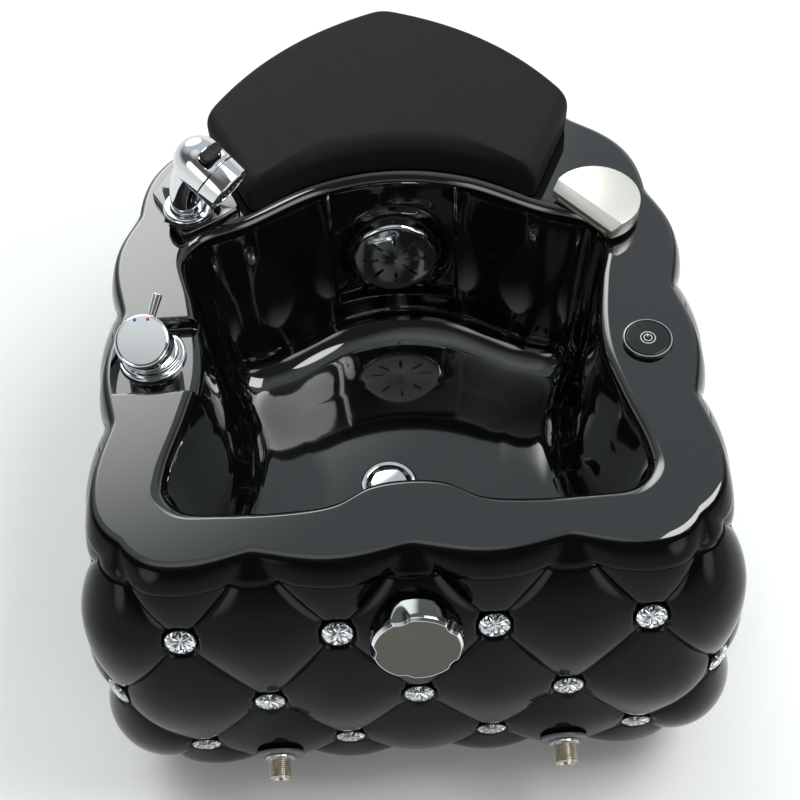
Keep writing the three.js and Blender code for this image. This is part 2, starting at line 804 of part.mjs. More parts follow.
function basinSolid() {
  const trayLow = platformZ - SHELL_WALL;
  const tray = mixerRecess(SHELL_WALL, trayLow, RIM_HEIGHT - SHELL_WALL + 1, SHELL_WALL / 2);
  const shell = join(deckShell(), bowlSolid(SHELL_WALL), tray, dockPlatform());
  const jetPad = along(rod(JET_RADIUS + 4, -SHELL_WALL - 3, 3), jetSeat, jetNormal);
  return cut(
    join(shell, jetPad),
    bowlSolid(0),
    mixerRecess(0, platformZ, RIM_HEIGHT + 20, PLATFORM_INSET),
    along(rod(JET_RADIUS + 1, 0, 30, 24), jetSeat, jetNormal),
    along(rod(JET_HOLE_RADIUS, -30, 30), jetSeat, jetNormal),
    deckHole(mixerX, MIXER_AT, VALVE_RADIUS + SEAT),
    deckHole(showerX, SHOWER_AT, GUIDE_RADIUS + SEAT),
    deckHole(powerX, POWER_AT, POWER_BARREL_RADIUS + SEAT),
    deckHole(shankX, shankAt, SPOUT_SHANK_RADIUS + SEAT),
    rod(DRAIN_BORE + 3, floorZ - 30, floorZ + 30).translate(drainPoint.x, drainPoint.y, 0),
  );
}

// Deck and bowl are moulded in one. They are two solids that meet under the deck's lip.
const basin = basinSolid();
const jointZ = RIM_HEIGHT - BASIN_JOINT_DEPTH;
const layer = (low, high) =>
  box(4 * HALF_WIDTH, 4 * APEX_AT, high - low, [0, 0, (low + high) / 2]);
piece("basin_deck", common(basin, layer(jointZ, RIM_HEIGHT + STEM_RISE)), GELCOAT);
piece("basin_bowl", common(basin, layer(0, jointZ - SEAT)), GELCOAT);

// ---------------------------------------------------------------- foot pad

function padOutline() {
  const half = new THREE.Shape();
  const arcCentre = fromFront(PAD_FRONT_AT - PAD_FRONT_RADIUS);
  const end = Math.acos(PAD_FRONT_HALF / PAD_FRONT_RADIUS);
  half.absarc(0, arcCentre, PAD_FRONT_RADIUS, Math.PI / 2, end, true);
  half.lineTo(padCornerX - 3, fromFront(PAD_CORNER_AT - 10));
  half.quadraticCurveTo(
    padCornerX + 1,
    fromFront(PAD_CORNER_AT - 1),
    padCornerX - 6,
    fromFront(PAD_CORNER_AT + 9),
  );
  const from = new THREE.Vector2(padCornerX - 6, fromFront(PAD_CORNER_AT + 9));
  const to = new THREE.Vector2(12, fromFront(PAD_BACK_AT - 3));
  const middle = from.clone().add(to).multiplyScalar(0.5);
  const chord = to.clone().sub(from);
  const sag = PAD_BACK_RADIUS - Math.sqrt(PAD_BACK_RADIUS ** 2 - chord.lengthSq() / 4);
  const control = new THREE.Vector2(chord.y, -chord.x).normalize().multiplyScalar(2 * sag);
  half.quadraticCurveTo(middle.x + control.x, middle.y + control.y, to.x, to.y);
  half.quadraticCurveTo(5, fromFront(PAD_BACK_AT), 0, fromFront(PAD_BACK_AT));
  const right = half.getSpacedPoints(25);
  const left = right.slice(1, -1).reverse();
  return [...right, ...left.map((p) => new THREE.Vector2(-p.x, p.y))];
}

function inward(outline, inset) {
  return outline.map((p, i) => {
    const before = outline[(i + outline.length - 1) % outline.length];
    const after = outline[(i + 1) % outline.length];
    const tangent = after.clone().sub(before).normalize();
    return new THREE.Vector2(p.x - tangent.y * inset, p.y + tangent.x * inset);
  });
}

// The pad's edge is a quarter round, its sides draw in a little and its top is crowned.
function padSolid() {
  const outline = padOutline();
  const low = RIM_HEIGHT + SEAT;
  const top = low + PAD_THICKNESS;
  const ring = (inset, z) => inward(outline, inset).map((p) => new THREE.Vector3(p.x, p.y, z));
  const edge = [0, 30, 60, 90].map((angle) => {
    const a = radians(angle);
    return ring(PAD_EDGE * (1 - Math.cos(a)), top - PAD_CROWN - PAD_EDGE * (1 - Math.sin(a)));
  });
  return loft([
    ring(3, low),
    ring(1, low + 4),
    ring(0, low + PAD_THICKNESS / 3),
    ...edge,
    ring(PAD_EDGE + 22, top - 1),
    ring(PAD_EDGE + 40, top),
  ]);
}

piece("footrest_pad", padSolid(), FOAM);

// ---------------------------------------------------------------- mixer

const mixer = placed(footSpa, [mixerX, fromFront(MIXER_AT), platformZ]);
const ballBore = MIXER_BALL_RADIUS + SEAT;

function mixerRing() {
  const bore = ballBore + 0.5;
  return turned([
    [bore, SEAT],
    [MIXER_RING_RADIUS, SEAT],
    [MIXER_RING_RADIUS, 3],
    [MIXER_RING_RADIUS - 3, 3.5],
    [MIXER_RING_RADIUS - 3, 6],
    [MIXER_RING_RADIUS - 5, 6.5],
    [MIXER_RING_RADIUS - 6, MIXER_RING_HEIGHT],
    [bore, MIXER_RING_HEIGHT],
    [bore, SEAT],
  ]);
}

// Brass body that hangs through the platform, with a flange above and four ports below.
function valveBody() {
  const flange = turned([
    [0, SEAT],
    [MIXER_BALL_RADIUS, SEAT],
    [MIXER_BALL_RADIUS, 1.6],
    [0, 1.6],
  ]);
  const shank = rod(VALVE_RADIUS, -VALVE_LENGTH, 1, 16);
  const port = (angle) =>
    rod(HOSE_RADIUS, 0, PORT_REACH, 6)
      .rotateY(Math.PI / 2)
      .rotateZ(radians(angle))
      .translate(0, 0, -PORT_DROP);
  return join(flange, shank, ...Object.values(PORT_ANGLES).map((angle) => port(angle)));
}

// The ball turns with the cap. It is flat below, over the valve's flange.
function ballCartridge() {
  const low = 1.6 + SEAT;
  const profile = [[0, low]];
  for (let i = 0; i <= 6; i++) {
    const from = Math.asin((low - MIXER_BALL_HEIGHT) / MIXER_BALL_RADIUS);
    const a = lerp(from, Math.PI / 2, i / 6);
    profile.push([MIXER_BALL_RADIUS * Math.cos(a), MIXER_BALL_HEIGHT + MIXER_BALL_RADIUS * Math.sin(a)]);
  }
  profile[profile.length - 1][0] = 0;
  return turned(profile);
}

// A cup over the ball: flat face, straight side, hollow below.
function mixerCap() {
  const hollow = MIXER_BALL_RADIUS + SEAT;
  const from = Math.asin(CAP_SKIRT / hollow);
  const inside = Array.from({ length: 5 }, (_, i) => {
    const a = lerp(Math.PI / 2, from, i / 4);
    return [hollow * Math.cos(a), hollow * Math.sin(a)];
  });
  inside[0][0] = 0;
  return turned([
    ...inside,
    [CAP_RADIUS, CAP_SKIRT],
    [CAP_RADIUS, CAP_TOP - 1],
    [CAP_RADIUS - 1, CAP_TOP],
    [0, CAP_TOP],
  ]);
}

piece("mixer_base_ring", mixerRing(), CHROME, mixer);
piece("mixer_valve_body", valveBody(), BRASS, mixer);
piece("mixer_ball", ballCartridge(), CHROME, mixer);
piece(
  "mixer_lock_nut",
  nut(VALVE_RADIUS + 9, VALVE_RADIUS + SEAT, -SHELL_WALL - SEAT - 8, -SHELL_WALL - SEAT),
  BRASS,
  mixer,
);
const tilted = placed(mixer, [0, 0, MIXER_BALL_HEIGHT], [CAP_TILT, 0, 0]);
const leverZ = CAP_TOP - 9;
const leverHole = rod(LEVER_RADIUS + SEAT, CAP_RADIUS - 4, CAP_RADIUS + 5, 16)
  .rotateX(-Math.PI / 2)
  .translate(0, 0, leverZ)
  .rotateZ(radians(LEVER_TURN));
piece("mixer_cap", cut(mixerCap(), leverHole), CHROME, tilted);
const lever = turned(
  [
    [0, 0],
    [LEVER_RADIUS, 0],
    [LEVER_RADIUS, LEVER_LENGTH - 1],
    [LEVER_RADIUS - 1, LEVER_LENGTH],
    [0, LEVER_LENGTH],
  ],
  16,
)
  .rotateX(-Math.PI / 2)
  .translate(0, CAP_RADIUS - 4 + SEAT, leverZ)
  .rotateZ(radians(LEVER_TURN));
piece("mixer_lever", lever, CHROME, tilted);

// ---------------------------------------------------------------- hand shower

const dockZ = RIM_HEIGHT + DOCK_RISE;
const shower = placed(footSpa, [showerX, fromFront(SHOWER_AT), 0]);

piece("shower_guide_tube", guideTube(), BLACK_PLASTIC, shower);
function guideTube() {
  return tube(GUIDE_RADIUS, GUIDE_BORE, dockZ - GUIDE_LENGTH, dockZ);
}

const collarTop = dockZ + SEAT + COLLAR_HEIGHT;
piece("shower_dock_collar", tube(COLLAR_RADIUS, GUIDE_BORE, dockZ + SEAT, collarTop), RUBBER, shower);
piece("shower_dock_ring", dockRing(), CHROME, shower);
function dockRing() {
  const low = collarTop + SEAT;
  return turned([
    [GUIDE_BORE, low],
    [DOCK_RING_RADIUS - 1, low],
    [DOCK_RING_RADIUS, low + 1],
    [DOCK_RING_RADIUS, low + DOCK_RING_HEIGHT - 2],
    [DOCK_RING_RADIUS - 2, low + DOCK_RING_HEIGHT],
    [GUIDE_BORE + 1, low + DOCK_RING_HEIGHT],
    [GUIDE_BORE, low + DOCK_RING_HEIGHT - 1],
    [GUIDE_BORE, low],
  ]);
}

const deckUnder = RIM_HEIGHT - SHELL_WALL;
piece(
  "shower_lock_nut",
  tube(GUIDE_RADIUS + 2, GUIDE_RADIUS + SEAT, deckUnder - 9, deckUnder - SEAT),
  BLACK_PLASTIC,
  shower,
);

// Head: dome centre, pointing direction and the button's outward direction.
const headTurn = radians(HEAD_TURN);
const headDip = radians(HEAD_DIP);
const headAxis = new THREE.Vector3(
  Math.cos(headTurn) * Math.cos(headDip),
  Math.sin(headTurn) * Math.cos(headDip),
  -Math.sin(headDip),
);
const headCentre = new THREE.Vector3(
  HEAD_REACH * Math.cos(headTurn),
  HEAD_REACH * Math.sin(headTurn),
  RIM_HEIGHT + HEAD_HEIGHT,
);
const headFace = HEAD_LENGTH - HEAD_RADIUS; // face from the dome centre
const stemFoot = dockZ - 8;
const stemTop = RIM_HEIGHT + STEM_RISE;

function showerHandle() {
  const stem = turned(
    [
      [0, stemFoot],
      [STEM_RADIUS - 1, stemFoot],
      [STEM_RADIUS, stemFoot + 3],
      [STEM_RADIUS, collarTop + 9],
      [STEM_TOP_RADIUS, stemTop - 8],
      [STEM_TOP_RADIUS * 0.7, stemTop - 2],
      [0, stemTop],
    ],
    16,
  );
  const dome = [[0, -HEAD_RADIUS]];
  for (let i = 1; i <= 4; i++) {
    const a = radians(-90 + 22.5 * i);
    dome.push([HEAD_RADIUS * Math.cos(a), HEAD_RADIUS * Math.sin(a)]);
  }
  const body = headFace - HEAD_RING_LENGTH - SEAT;
  const head = along(turned([...dome, [HEAD_RADIUS, body], [0, body]], 18), headCentre, headAxis);
  return cut(join(stem, head), buttonShape(SEAT, -SPRAY_BUTTON_RISE - 3, 20));
}

// The spray button: a pill across the top of the head.
function buttonShape(grow, low, high) {
  const half = SPRAY_BUTTON_WIDTH / 2 + grow;
  const reach = SPRAY_BUTTON_LENGTH / 2 - SPRAY_BUTTON_WIDTH / 2;
  const pill = new THREE.Shape();
  pill.absarc(reach, 0, half, -Math.PI / 2, Math.PI / 2, false);
  pill.absarc(-reach, 0, half, Math.PI / 2, (3 * Math.PI) / 2, false);
  const solid = new THREE.ExtrudeGeometry(pill, {
    depth: high - low,
    bevelEnabled: false,
    curveSegments: 4,
  }).translate(0, 0, HEAD_RADIUS + low);
  const side = new THREE.Vector3(-Math.sin(headTurn), Math.cos(headTurn), 0);
  const up = new THREE.Vector3().crossVectors(headAxis, side).negate();
  const frame = new THREE.Matrix4().makeBasis(side, headAxis.clone().negate(), up);
  if (frame.determinant() < 0) frame.makeBasis(side, headAxis, up);
  const at = headCentre.clone().addScaledVector(headAxis, headFace - SPRAY_BUTTON_BACK);
  return solid.applyMatrix4(frame).translate(at.x, at.y, at.z);
}

const handset = placed(shower, [0, 0, 0]);
piece("shower_handle", showerHandle(), CHROME, handset);
piece(
  "shower_head_ring",
  along(
    tube(HEAD_RADIUS, HEAD_RADIUS - 2.5, headFace - HEAD_RING_LENGTH, headFace),
    headCentre,
    headAxis,
  ),
  CHROME,
  handset,
);
piece("shower_nozzle_face", nozzleFace(), BLACK_PLASTIC, handset);
function nozzleFace() {
  const radius = HEAD_RADIUS - 2.5 - SEAT;
  const low = headFace - HEAD_RING_LENGTH;
  const plate = rod(radius, low, headFace - 1.5);
  const nozzles = [[0, 0]];
  for (let i = 0; i < NOZZLES; i++) {
    const a = (i / NOZZLES) * 2 * Math.PI;
    nozzles.push([14 * Math.cos(a), 14 * Math.sin(a)]);
  }
  const holes = nozzles.map(([x, y]) => rod(1.6, headFace - 6, headFace + 2, 4).translate(x, y, 0));
  return along(cut(plate, ...holes), headCentre, headAxis);
}
piece("spray_button", buttonShape(0, -SPRAY_BUTTON_RISE + 1, SPRAY_BUTTON_RISE), BLACK_PLASTIC, handset);

// The hose's end rides up with the handle. The rest waits in a loop below the deck.
const hoseTop = stemFoot - SEAT;
const hoseJoin = hoseTop - HOSE_END_LENGTH;
piece("shower_hose_end", hoseEnd(), BRAID, shower);
function hoseEnd() {
  const swivel = rod(11, hoseTop - 16, hoseTop, 12);
  return join(swivel, rod(HOSE_RADIUS, hoseJoin, hoseTop - 15, 12));
}

// ---------------------------------------------------------------- spout

const spoutBase = RIM_HEIGHT + SPOUT_RISE;
const spout = placed(footSpa, [spoutX, fromFront(SPOUT_AT), 0], [0, 0, SPOUT_TURN]);

function spoutOutline(inset) {
  const half = Math.sqrt((SPOUT_RADIUS - inset) ** 2 - (SPOUT_FLAT - inset) ** 2);
  const end = Math.atan2(half, SPOUT_FLAT - inset);
  const outline = new THREE.Shape();
  outline.absarc(0, 0, SPOUT_RADIUS - inset, end, 2 * Math.PI - end, false);
  return outline.getPoints(14).filter((p, i, all) => i === 0 || p.distanceTo(all[i - 1]) > 0.01);
}

// Half-moon body whose front strip slopes down to the slot.
function spoutBody() {
  const ring = (inset, z) => spoutOutline(inset).map((p) => new THREE.Vector3(p.x, p.y, z));
  const body = loft([
    ring(0.8, spoutBase),
    ring(0, spoutBase + 0.8),
    ring(0, spoutBase + SPOUT_THICKNESS - 2),
    ring(0.6, spoutBase + SPOUT_THICKNESS - 0.6),
    ring(2, spoutBase + SPOUT_THICKNESS),
  ]);
  const slope = box(30, 2 * SPOUT_RADIUS, 10, [15, 0, 5])
    .rotateY(radians(14))
    .translate(SPOUT_FLAT - 13, 0, spoutBase + SPOUT_THICKNESS);
  const slotZ = spoutBase + SPOUT_THICKNESS / 2 - 1;
  const slot = box(30, 2 * SPOUT_SLOT_HALF, SPOUT_SLOT_HEIGHT, [SPOUT_FLAT, 0, slotZ]);
  const gasket = rod(SPOUT_SHANK_RADIUS + 9, RIM_HEIGHT + SEAT, spoutBase + 1, 16);
  const shank = rod(SPOUT_SHANK_RADIUS, RIM_HEIGHT - SPOUT_SHANK_LENGTH, spoutBase + 1, 16);
  const tail = [gasket, shank].map((g) => g.translate(-SPOUT_SHANK_BACK, 0, 0));
  return cut(join(body, ...tail), slope, slot);
}

piece("spout_body", spoutBody(), CHROME, spout);
piece(
  "spout_lock_nut",
  nut(SPOUT_SHANK_RADIUS + 8, SPOUT_SHANK_RADIUS + SEAT, deckUnder - 9, deckUnder - SEAT)
    .translate(-SPOUT_SHANK_BACK, 0, 0),
  BRASS,
  spout,
);

// ---------------------------------------------------------------- power button

const power = placed(footSpa, [powerX, fromFront(POWER_AT), RIM_HEIGHT]);
const capLow = 1.9;
piece("power_bezel", powerBezel(), BLACK_PLASTIC, power);
function powerBezel() {
  return turned([
    [POWER_BARREL_RADIUS, SEAT],
    [POWER_BEZEL_RADIUS, SEAT],
    [POWER_BEZEL_RADIUS, POWER_HEIGHT - 1],
    [POWER_BEZEL_RADIUS - 1, POWER_HEIGHT],
    [POWER_CAP_RADIUS + SEAT, POWER_HEIGHT],
    [POWER_CAP_RADIUS + SEAT, 1.2],
    [POWER_BARREL_RADIUS, 1.2],
    [POWER_BARREL_RADIUS, SEAT],
  ]);
}
const stemHalf = 4;
const stemBottom = -12;
piece(
  "power_button",
  join(rod(POWER_CAP_RADIUS, capLow + 1, POWER_HEIGHT + 0.4), rod(stemHalf, stemBottom, capLow + 2, 12)),
  BLACK_PLASTIC,
  power,
);
piece("power_switch_body", switchBody(), GREY_PLASTIC, power);
function switchBody() {
  const low = -POWER_BARREL_LENGTH;
  const barrel = rod(POWER_BARREL_RADIUS - SEAT, low, 1.1, 16);
  const well = rod(stemHalf + SEAT, stemBottom - 2.5, 5, 12);
  const nut = tube(POWER_BARREL_RADIUS + 7, 5, -SHELL_WALL - 8, -SHELL_WALL - SEAT, 6);
  return cut(join(barrel, nut), well);
}

// ---------------------------------------------------------------- drain knob

const knobFrame = placed(footSpa, knobSeat.toArray(), [0, 0, 0]);
knobFrame.quaternion.setFromUnitVectors(new THREE.Vector3(0, 0, 1), knobNormal);
knobFrame.updateMatrixWorld(true);

// Five scallops start at the face and run out before the round base.
function knobSolid() {
  const low = -1 + SEAT;
  const high = low + KNOB_THICKNESS;
  const body = turned(
    [
      [0, low],
      [KNOB_RADIUS - 1, low],
      [KNOB_RADIUS, low + 1],
      [KNOB_RADIUS, low + 6],
      [KNOB_RADIUS - 1.5, high - 1.5],
      [KNOB_RADIUS - 3, high],
      [0, high],
    ],
    30,
  );
  const scallops = [];
  for (let i = 0; i < KNOB_LOBES; i++) {
    const angle = radians(KNOB_FIRST_LOBE + (360 / KNOB_LOBES) * i);
    const scoop = rod(SCOOP_RADIUS, -18, 18, 12)
      .rotateY(-radians(SCOOP_LEAN))
      .translate(KNOB_RADIUS + SCOOP_RADIUS - SCOOP_DEPTH, 0, high)
      .rotateZ(angle);
    scallops.push(scoop);
  }
  return cut(body, ...scallops, rod(5, low - 1, low + 12, 12));
}
piece("drain_knob", knobSolid(), CHROME, knobFrame);
piece("knob_spindle", rod(4.6, -34, 10, 12), BRASS, knobFrame);
piece("knob_bush", knobBush(), BRASS, knobFrame);
function knobBush() {
  const wall = -PUFF_BODY - SKIRT_WALL - 5;
  const barrel = rod(KNOB_BUSH_RADIUS, wall - 18, -1.1, 16);
  const lockNut = rod(KNOB_BUSH_RADIUS + 7, wall - 8, wall, 6);
  const drilled = cut(join(barrel, lockNut), rod(5, wall - 10, 5, 12));
  const low = wall - 18;
  const start = [0, 0, low + 4];
  const inFrame = (x, at, z) =>
    knobFrame.worldToLocal(new THREE.Vector3(x, fromFront(at), z)).toArray();
  const boss = drainPoint.y - FRONT_Y - DRAIN_BODY_RADIUS - 16 - SEAT;
  const cable = [
    start,
    [0, 0, low - 12],
    inFrame(DRAIN_X * 0.2, 30, 215),
    inFrame(DRAIN_X * 0.5, 45, 150),
    inFrame(DRAIN_X * 0.9, 100, 112),
    inFrame(DRAIN_X, boss - 15, floorZ - 36),
    inFrame(DRAIN_X, boss, floorZ - 36),
  ];
  return join(drilled, hose(cable, CABLE_RADIUS));
}

// ---------------------------------------------------------------- supply inlets

for (const [side, word] of [[-1, "left"], [1, "right"]]) {
  const frame = placed(footSpa, inletSeat(side).toArray());
  frame.quaternion.setFromUnitVectors(new THREE.Vector3(0, 0, 1), inletNormal);
  const washerTop = -1 + SEAT + WASHER_THICKNESS;
  const washer = tube(WASHER_RADIUS, THREAD_RADIUS + SEAT, -1 + SEAT, washerTop);
  piece(`inlet_washer_${word}`, washer, GREY_PLASTIC, frame);
  const collarLow = washerTop + SEAT;
  const nipple = turned(
    [
      [INLET_BORE, -NIPPLE_INNER],
      [THREAD_RADIUS, -NIPPLE_INNER],
      [THREAD_RADIUS, collarLow],
      [THREAD_RADIUS + 3, collarLow],
      [THREAD_RADIUS + 3, collarLow + 2.5],
      [THREAD_RADIUS - 2, collarLow + 3],
      [THREAD_RADIUS - 2, collarLow + 5],
      [THREAD_RADIUS, collarLow + 6],
      [THREAD_RADIUS, collarLow + THREAD_LENGTH],
      [INLET_BORE, collarLow + THREAD_LENGTH],
      [INLET_BORE, -NIPPLE_INNER],
    ],
    14,
  );
  piece(`inlet_nipple_${word}`, nipple, NICKEL, frame);
}

// ---------------------------------------------------------------- jet

const jet = placed(footSpa, jetSeat.toArray());
jet.quaternion.setFromUnitVectors(new THREE.Vector3(0, 0, 1), jetNormal);
const gasketTop = SEAT + 2;

// A round cup over the impeller with slots in its face.
function jetCover() {
  const low = gasketTop + SEAT;
  const cup = turned([
    [JET_RADIUS - JET_WALL - 4, low],
    [JET_RADIUS, low],
    [JET_RADIUS, JET_HEIGHT - 3],
    [JET_RADIUS - 3, JET_HEIGHT],
    [0, JET_HEIGHT],
    [0, JET_HEIGHT - JET_WALL],
    [JET_RADIUS - JET_WALL, JET_HEIGHT - JET_WALL],
    [JET_RADIUS - JET_WALL, low + 2],
    [JET_RADIUS - JET_WALL - 4, low + 2],
    [JET_RADIUS - JET_WALL - 4, low],
  ], 24);
  const slots = [];
  for (let i = 0; i < JET_SLOTS; i++) {
    const angle = (i / JET_SLOTS) * 2 * Math.PI;
    slots.push(box(14, 3, 10, [24, 0, JET_HEIGHT]).rotateZ(angle));
  }
  return cut(cup, ...slots);
}

piece("jet_gasket", tube(JET_RADIUS, JET_HOLE_RADIUS, SEAT, gasketTop), RUBBER, jet);
piece("jet_cover", jetCover(), CHROME, jet);
piece("jet_impeller", impeller(), WHITE_PLASTIC, jet);
function impeller() {
  const low = gasketTop + SEAT + 1.2;
  const high = JET_HEIGHT - JET_WALL - 1.2;
  const hub = rod(9, low, high, 16);
  const disc = rod(IMPELLER_RADIUS, low, low + 2, 24);
  const blades = [];
  for (let i = 0; i < 6; i++) {
    const blade = box(IMPELLER_RADIUS - 7, 2, high - low - 1, [
      6 + (IMPELLER_RADIUS - 7) / 2,
      0,
      (low + high) / 2,
    ]);
    blades.push(blade.rotateZ((i / 6) * 2 * Math.PI));
  }
  return cut(join(hub, disc, ...blades), rod(3.3, low - 1, high - 4, 12));
}
piece("jet_motor", jetMotor(), GREY_PLASTIC, jet);
function jetMotor() {
  const face = -SHELL_WALL - 3 - SEAT;
  const flange = rod(MOTOR_RADIUS, face - 5, face);
  const can = rod(MOTOR_RADIUS - 4, face - MOTOR_LENGTH, face - 4);
  const neck = rod(JET_HOLE_RADIUS - SEAT, face - 1, 1.6);
  const shaft = rod(3, 0, JET_HEIGHT - JET_WALL - 5.6, 12);
  return join(flange, can, neck, shaft);
}

// ---------------------------------------------------------------- drain

const drain = placed(footSpa, drainPoint.toArray());
const flangeTop = 4;

piece("drain_flange", drainFlange(), CHROME, drain);
function drainFlange() {
  const outer = DRAIN_BORE + 3 - SEAT;
  return turned([
    [DRAIN_BORE, -30],
    [outer, -30],
    [outer, SEAT],
    [DRAIN_FLANGE_RADIUS, SEAT],
    [DRAIN_FLANGE_RADIUS, flangeTop - 2],
    [DRAIN_FLANGE_RADIUS - 2, flangeTop],
    [PLUG_RADIUS + 1, flangeTop - 0.5],
    [DRAIN_BORE, flangeTop - 3],
    [DRAIN_BORE, -30],
  ], 18);
}

piece("drain_plug", drainPlug(), CHROME, drain);
// The plug's cone sits in the flange's cone.
function drainPlug() {
  const slope = 2.5 / (PLUG_RADIUS + 1 - DRAIN_BORE);
  const seat = (radius) => flangeTop - 3 + 1.4 * SEAT + (radius - DRAIN_BORE) * slope;
  const under = seat(DRAIN_BORE) - 1.5;
  const rim = seat(PLUG_RADIUS);
  return turned([
    [0, -24],
    [4, -24],
    [4, under],
    [DRAIN_BORE - 1, under],
    [DRAIN_BORE - 1, seat(DRAIN_BORE - 1)],
    [PLUG_RADIUS, rim],
    [PLUG_RADIUS, rim + 1.5],
    [PLUG_RADIUS - 5, rim + 3.5],
    [0, rim + 5],
  ], 18);
}

const drainNutTop = -SHELL_WALL - SEAT;
piece("drain_body", drainBody(), BLACK_PLASTIC, drain);
function drainBody() {
  const bore = DRAIN_BORE + 3;
  const cup = turned([
    [bore, drainNutTop],
    [DRAIN_BODY_RADIUS + 6, drainNutTop],
    [DRAIN_BODY_RADIUS + 6, drainNutTop - 8],
    [DRAIN_BODY_RADIUS + 3, drainNutTop - 10],
    [DRAIN_BODY_RADIUS + 3, -44],
    [WASTE_RADIUS + 4, -50],
    [WASTE_RADIUS + 4, -DRAIN_BODY_LENGTH],
    [WASTE_RADIUS + SEAT, -DRAIN_BODY_LENGTH],
    [WASTE_RADIUS + SEAT, -52],
    [WASTE_BORE, -52],
    [WASTE_BORE, -46],
    [bore, -40],
    [bore, drainNutTop],
  ]);
  const boss = rod(8, DRAIN_BODY_RADIUS - 0.5, DRAIN_BODY_RADIUS + 16, 10)
    .rotateX(Math.PI / 2)
    .translate(0, 0, -36);
  return join(cup, boss);
}

const wasteTop = floorZ - 52 - SEAT;
piece(
  "waste_pipe",
  tube(WASTE_RADIUS, WASTE_BORE, 4, wasteTop).translate(drainPoint.x, drainPoint.y, 0),
  GREY_PLASTIC,
);

// ---------------------------------------------------------------- base

// The board fills the skirt's foot. Its edge follows the straight stretch of the skirt's inside.
function baseBoard() {
  const top = skirtRing(RIM_HEIGHT - boardTop, SKIRT_WALL + SEAT, false);
  const foot = skirtRing(RIM_HEIGHT - SKIRT_GROUND_GAP, SKIRT_WALL + SEAT, false);
  const share = (boardTop - boardLow) / (boardTop - SKIRT_GROUND_GAP);
  const low = top.map((p, i) => p.clone().lerp(foot[i], share));
  const long = SERVICE_BACK_AT - SERVICE_FRONT_AT;
  const middle = fromFront(SERVICE_FRONT_AT + long / 2);
  const opening = roundedBox(2 * SERVICE_HALF, long, SERVICE_CORNER, boardLow - 5, boardTop + 5);
  return cut(loft([low, top]), opening.translate(0, middle, 0));
}

function roundedBox(x, y, corner, low, high) {
  const shape = new THREE.Shape();
  for (const [sx, sy, start] of [[1, 1, 0], [-1, 1, 1], [-1, -1, 2], [1, -1, 3]]) {
    const angle = (start * Math.PI) / 2;
    const [cx, cy] = [sx * (x / 2 - corner), sy * (y / 2 - corner)];
    shape.absarc(cx, cy, corner, angle, angle + Math.PI / 2, false);
  }
  shape.closePath();
  return new THREE.ExtrudeGeometry(shape, {
    depth: high - low,
    bevelEnabled: false,
    curveSegments: 3,
  }).translate(0, 0, low);
}
piece("base_board", baseBoard(), BOARD);

for (const [word, at] of [["front", FOOT_FRONT_AT], ["back", FOOT_BACK_AT]]) {
  for (const [hand, side] of [["left", -1], ["right", 1]]) {
    const foot = turned([
      [0, 0],
      [FOOT_RADIUS - 3, 0],
      [FOOT_RADIUS, 3],
      [FOOT_RADIUS, FOOT_HEIGHT],
      [0, FOOT_HEIGHT],
    ], 16);
    piece(`foot_${word}_${hand}`, foot.translate(side * fromSide(FOOT_FROM_SIDE), fromFront(at), 0), RUBBER);
  }
}

const boxZ = boardTop + SEAT + CONTROL_BOX[2] / 2;
const boxTop = boxZ + CONTROL_BOX[2] / 2;

// The leads to the switch and to the jet's motor leave the box's top.
function controlBox() {
  const at = CONTROL_BOX_AT;
  const motorEnd = jetNormal
    .clone()
    .multiplyScalar(-SHELL_WALL - 3 - SEAT - MOTOR_LENGTH - SEAT)
    .add(jetSeat);
  const motorLead = [
    [-30, fromFront(at - 22), boxTop - 3],
    [-30, fromFront(at - 22), boxTop + 25],
    [-22, fromFront(at - 24), boxTop + 100],
    motorEnd.clone().addScaledVector(jetNormal, -14).toArray(),
    motorEnd.toArray(),
  ];
  const switchLead = [
    [50, fromFront(at), boxTop - 3],
    [54, fromFront(at - 3), boxTop + 12],
    [fromSide(106), fromFront(at - 66), boxTop + 10],
    [fromSide(16), fromFront(at - 190), boxTop + 60],
    [fromSide(14), fromFront(POWER_AT + 70), RIM_HEIGHT - 110],
    [powerX, fromFront(POWER_AT), RIM_HEIGHT - POWER_BARREL_LENGTH - 20],
    [powerX, fromFront(POWER_AT), RIM_HEIGHT - POWER_BARREL_LENGTH - SEAT],
  ];
  return join(
    box(...CONTROL_BOX, [0, fromFront(at), boxZ]),
    hose(motorLead, LEAD_RADIUS, HOSE_STEP / 2),
    hose(switchLead, LEAD_RADIUS),
  );
}

piece("control_box", controlBox(), BLACK_PLASTIC);

// ---------------------------------------------------------------- hoses inside the tub

// End of a valve port, and the direction that it faces.
function portEnd(angle, reach = PORT_REACH + SEAT) {
  const a = radians(angle);
  return [
    mixerX + reach * Math.cos(a),
    fromFront(MIXER_AT) + reach * Math.sin(a),
    platformZ - PORT_DROP,
  ];
}

// Inner end of a supply nipple, moved further in by a distance.
function nippleEnd(side, distance = 0) {
  return inletSeat(side)
    .addScaledVector(inletNormal, -NIPPLE_INNER - SEAT - distance)
    .toArray();
}

const hotHose = [
  nippleEnd(-1),
  nippleEnd(-1, 18),
  [-fromSide(64), fromFront(58), 118],
  [-fromSide(20), fromFront(118), 150],
  [-fromSide(8), fromFront(158), 215],
  portEnd(PORT_ANGLES.hot, 48),
  portEnd(PORT_ANGLES.hot),
];
piece("hot_supply_hose", hose(hotHose, HOSE_RADIUS), BRAID);

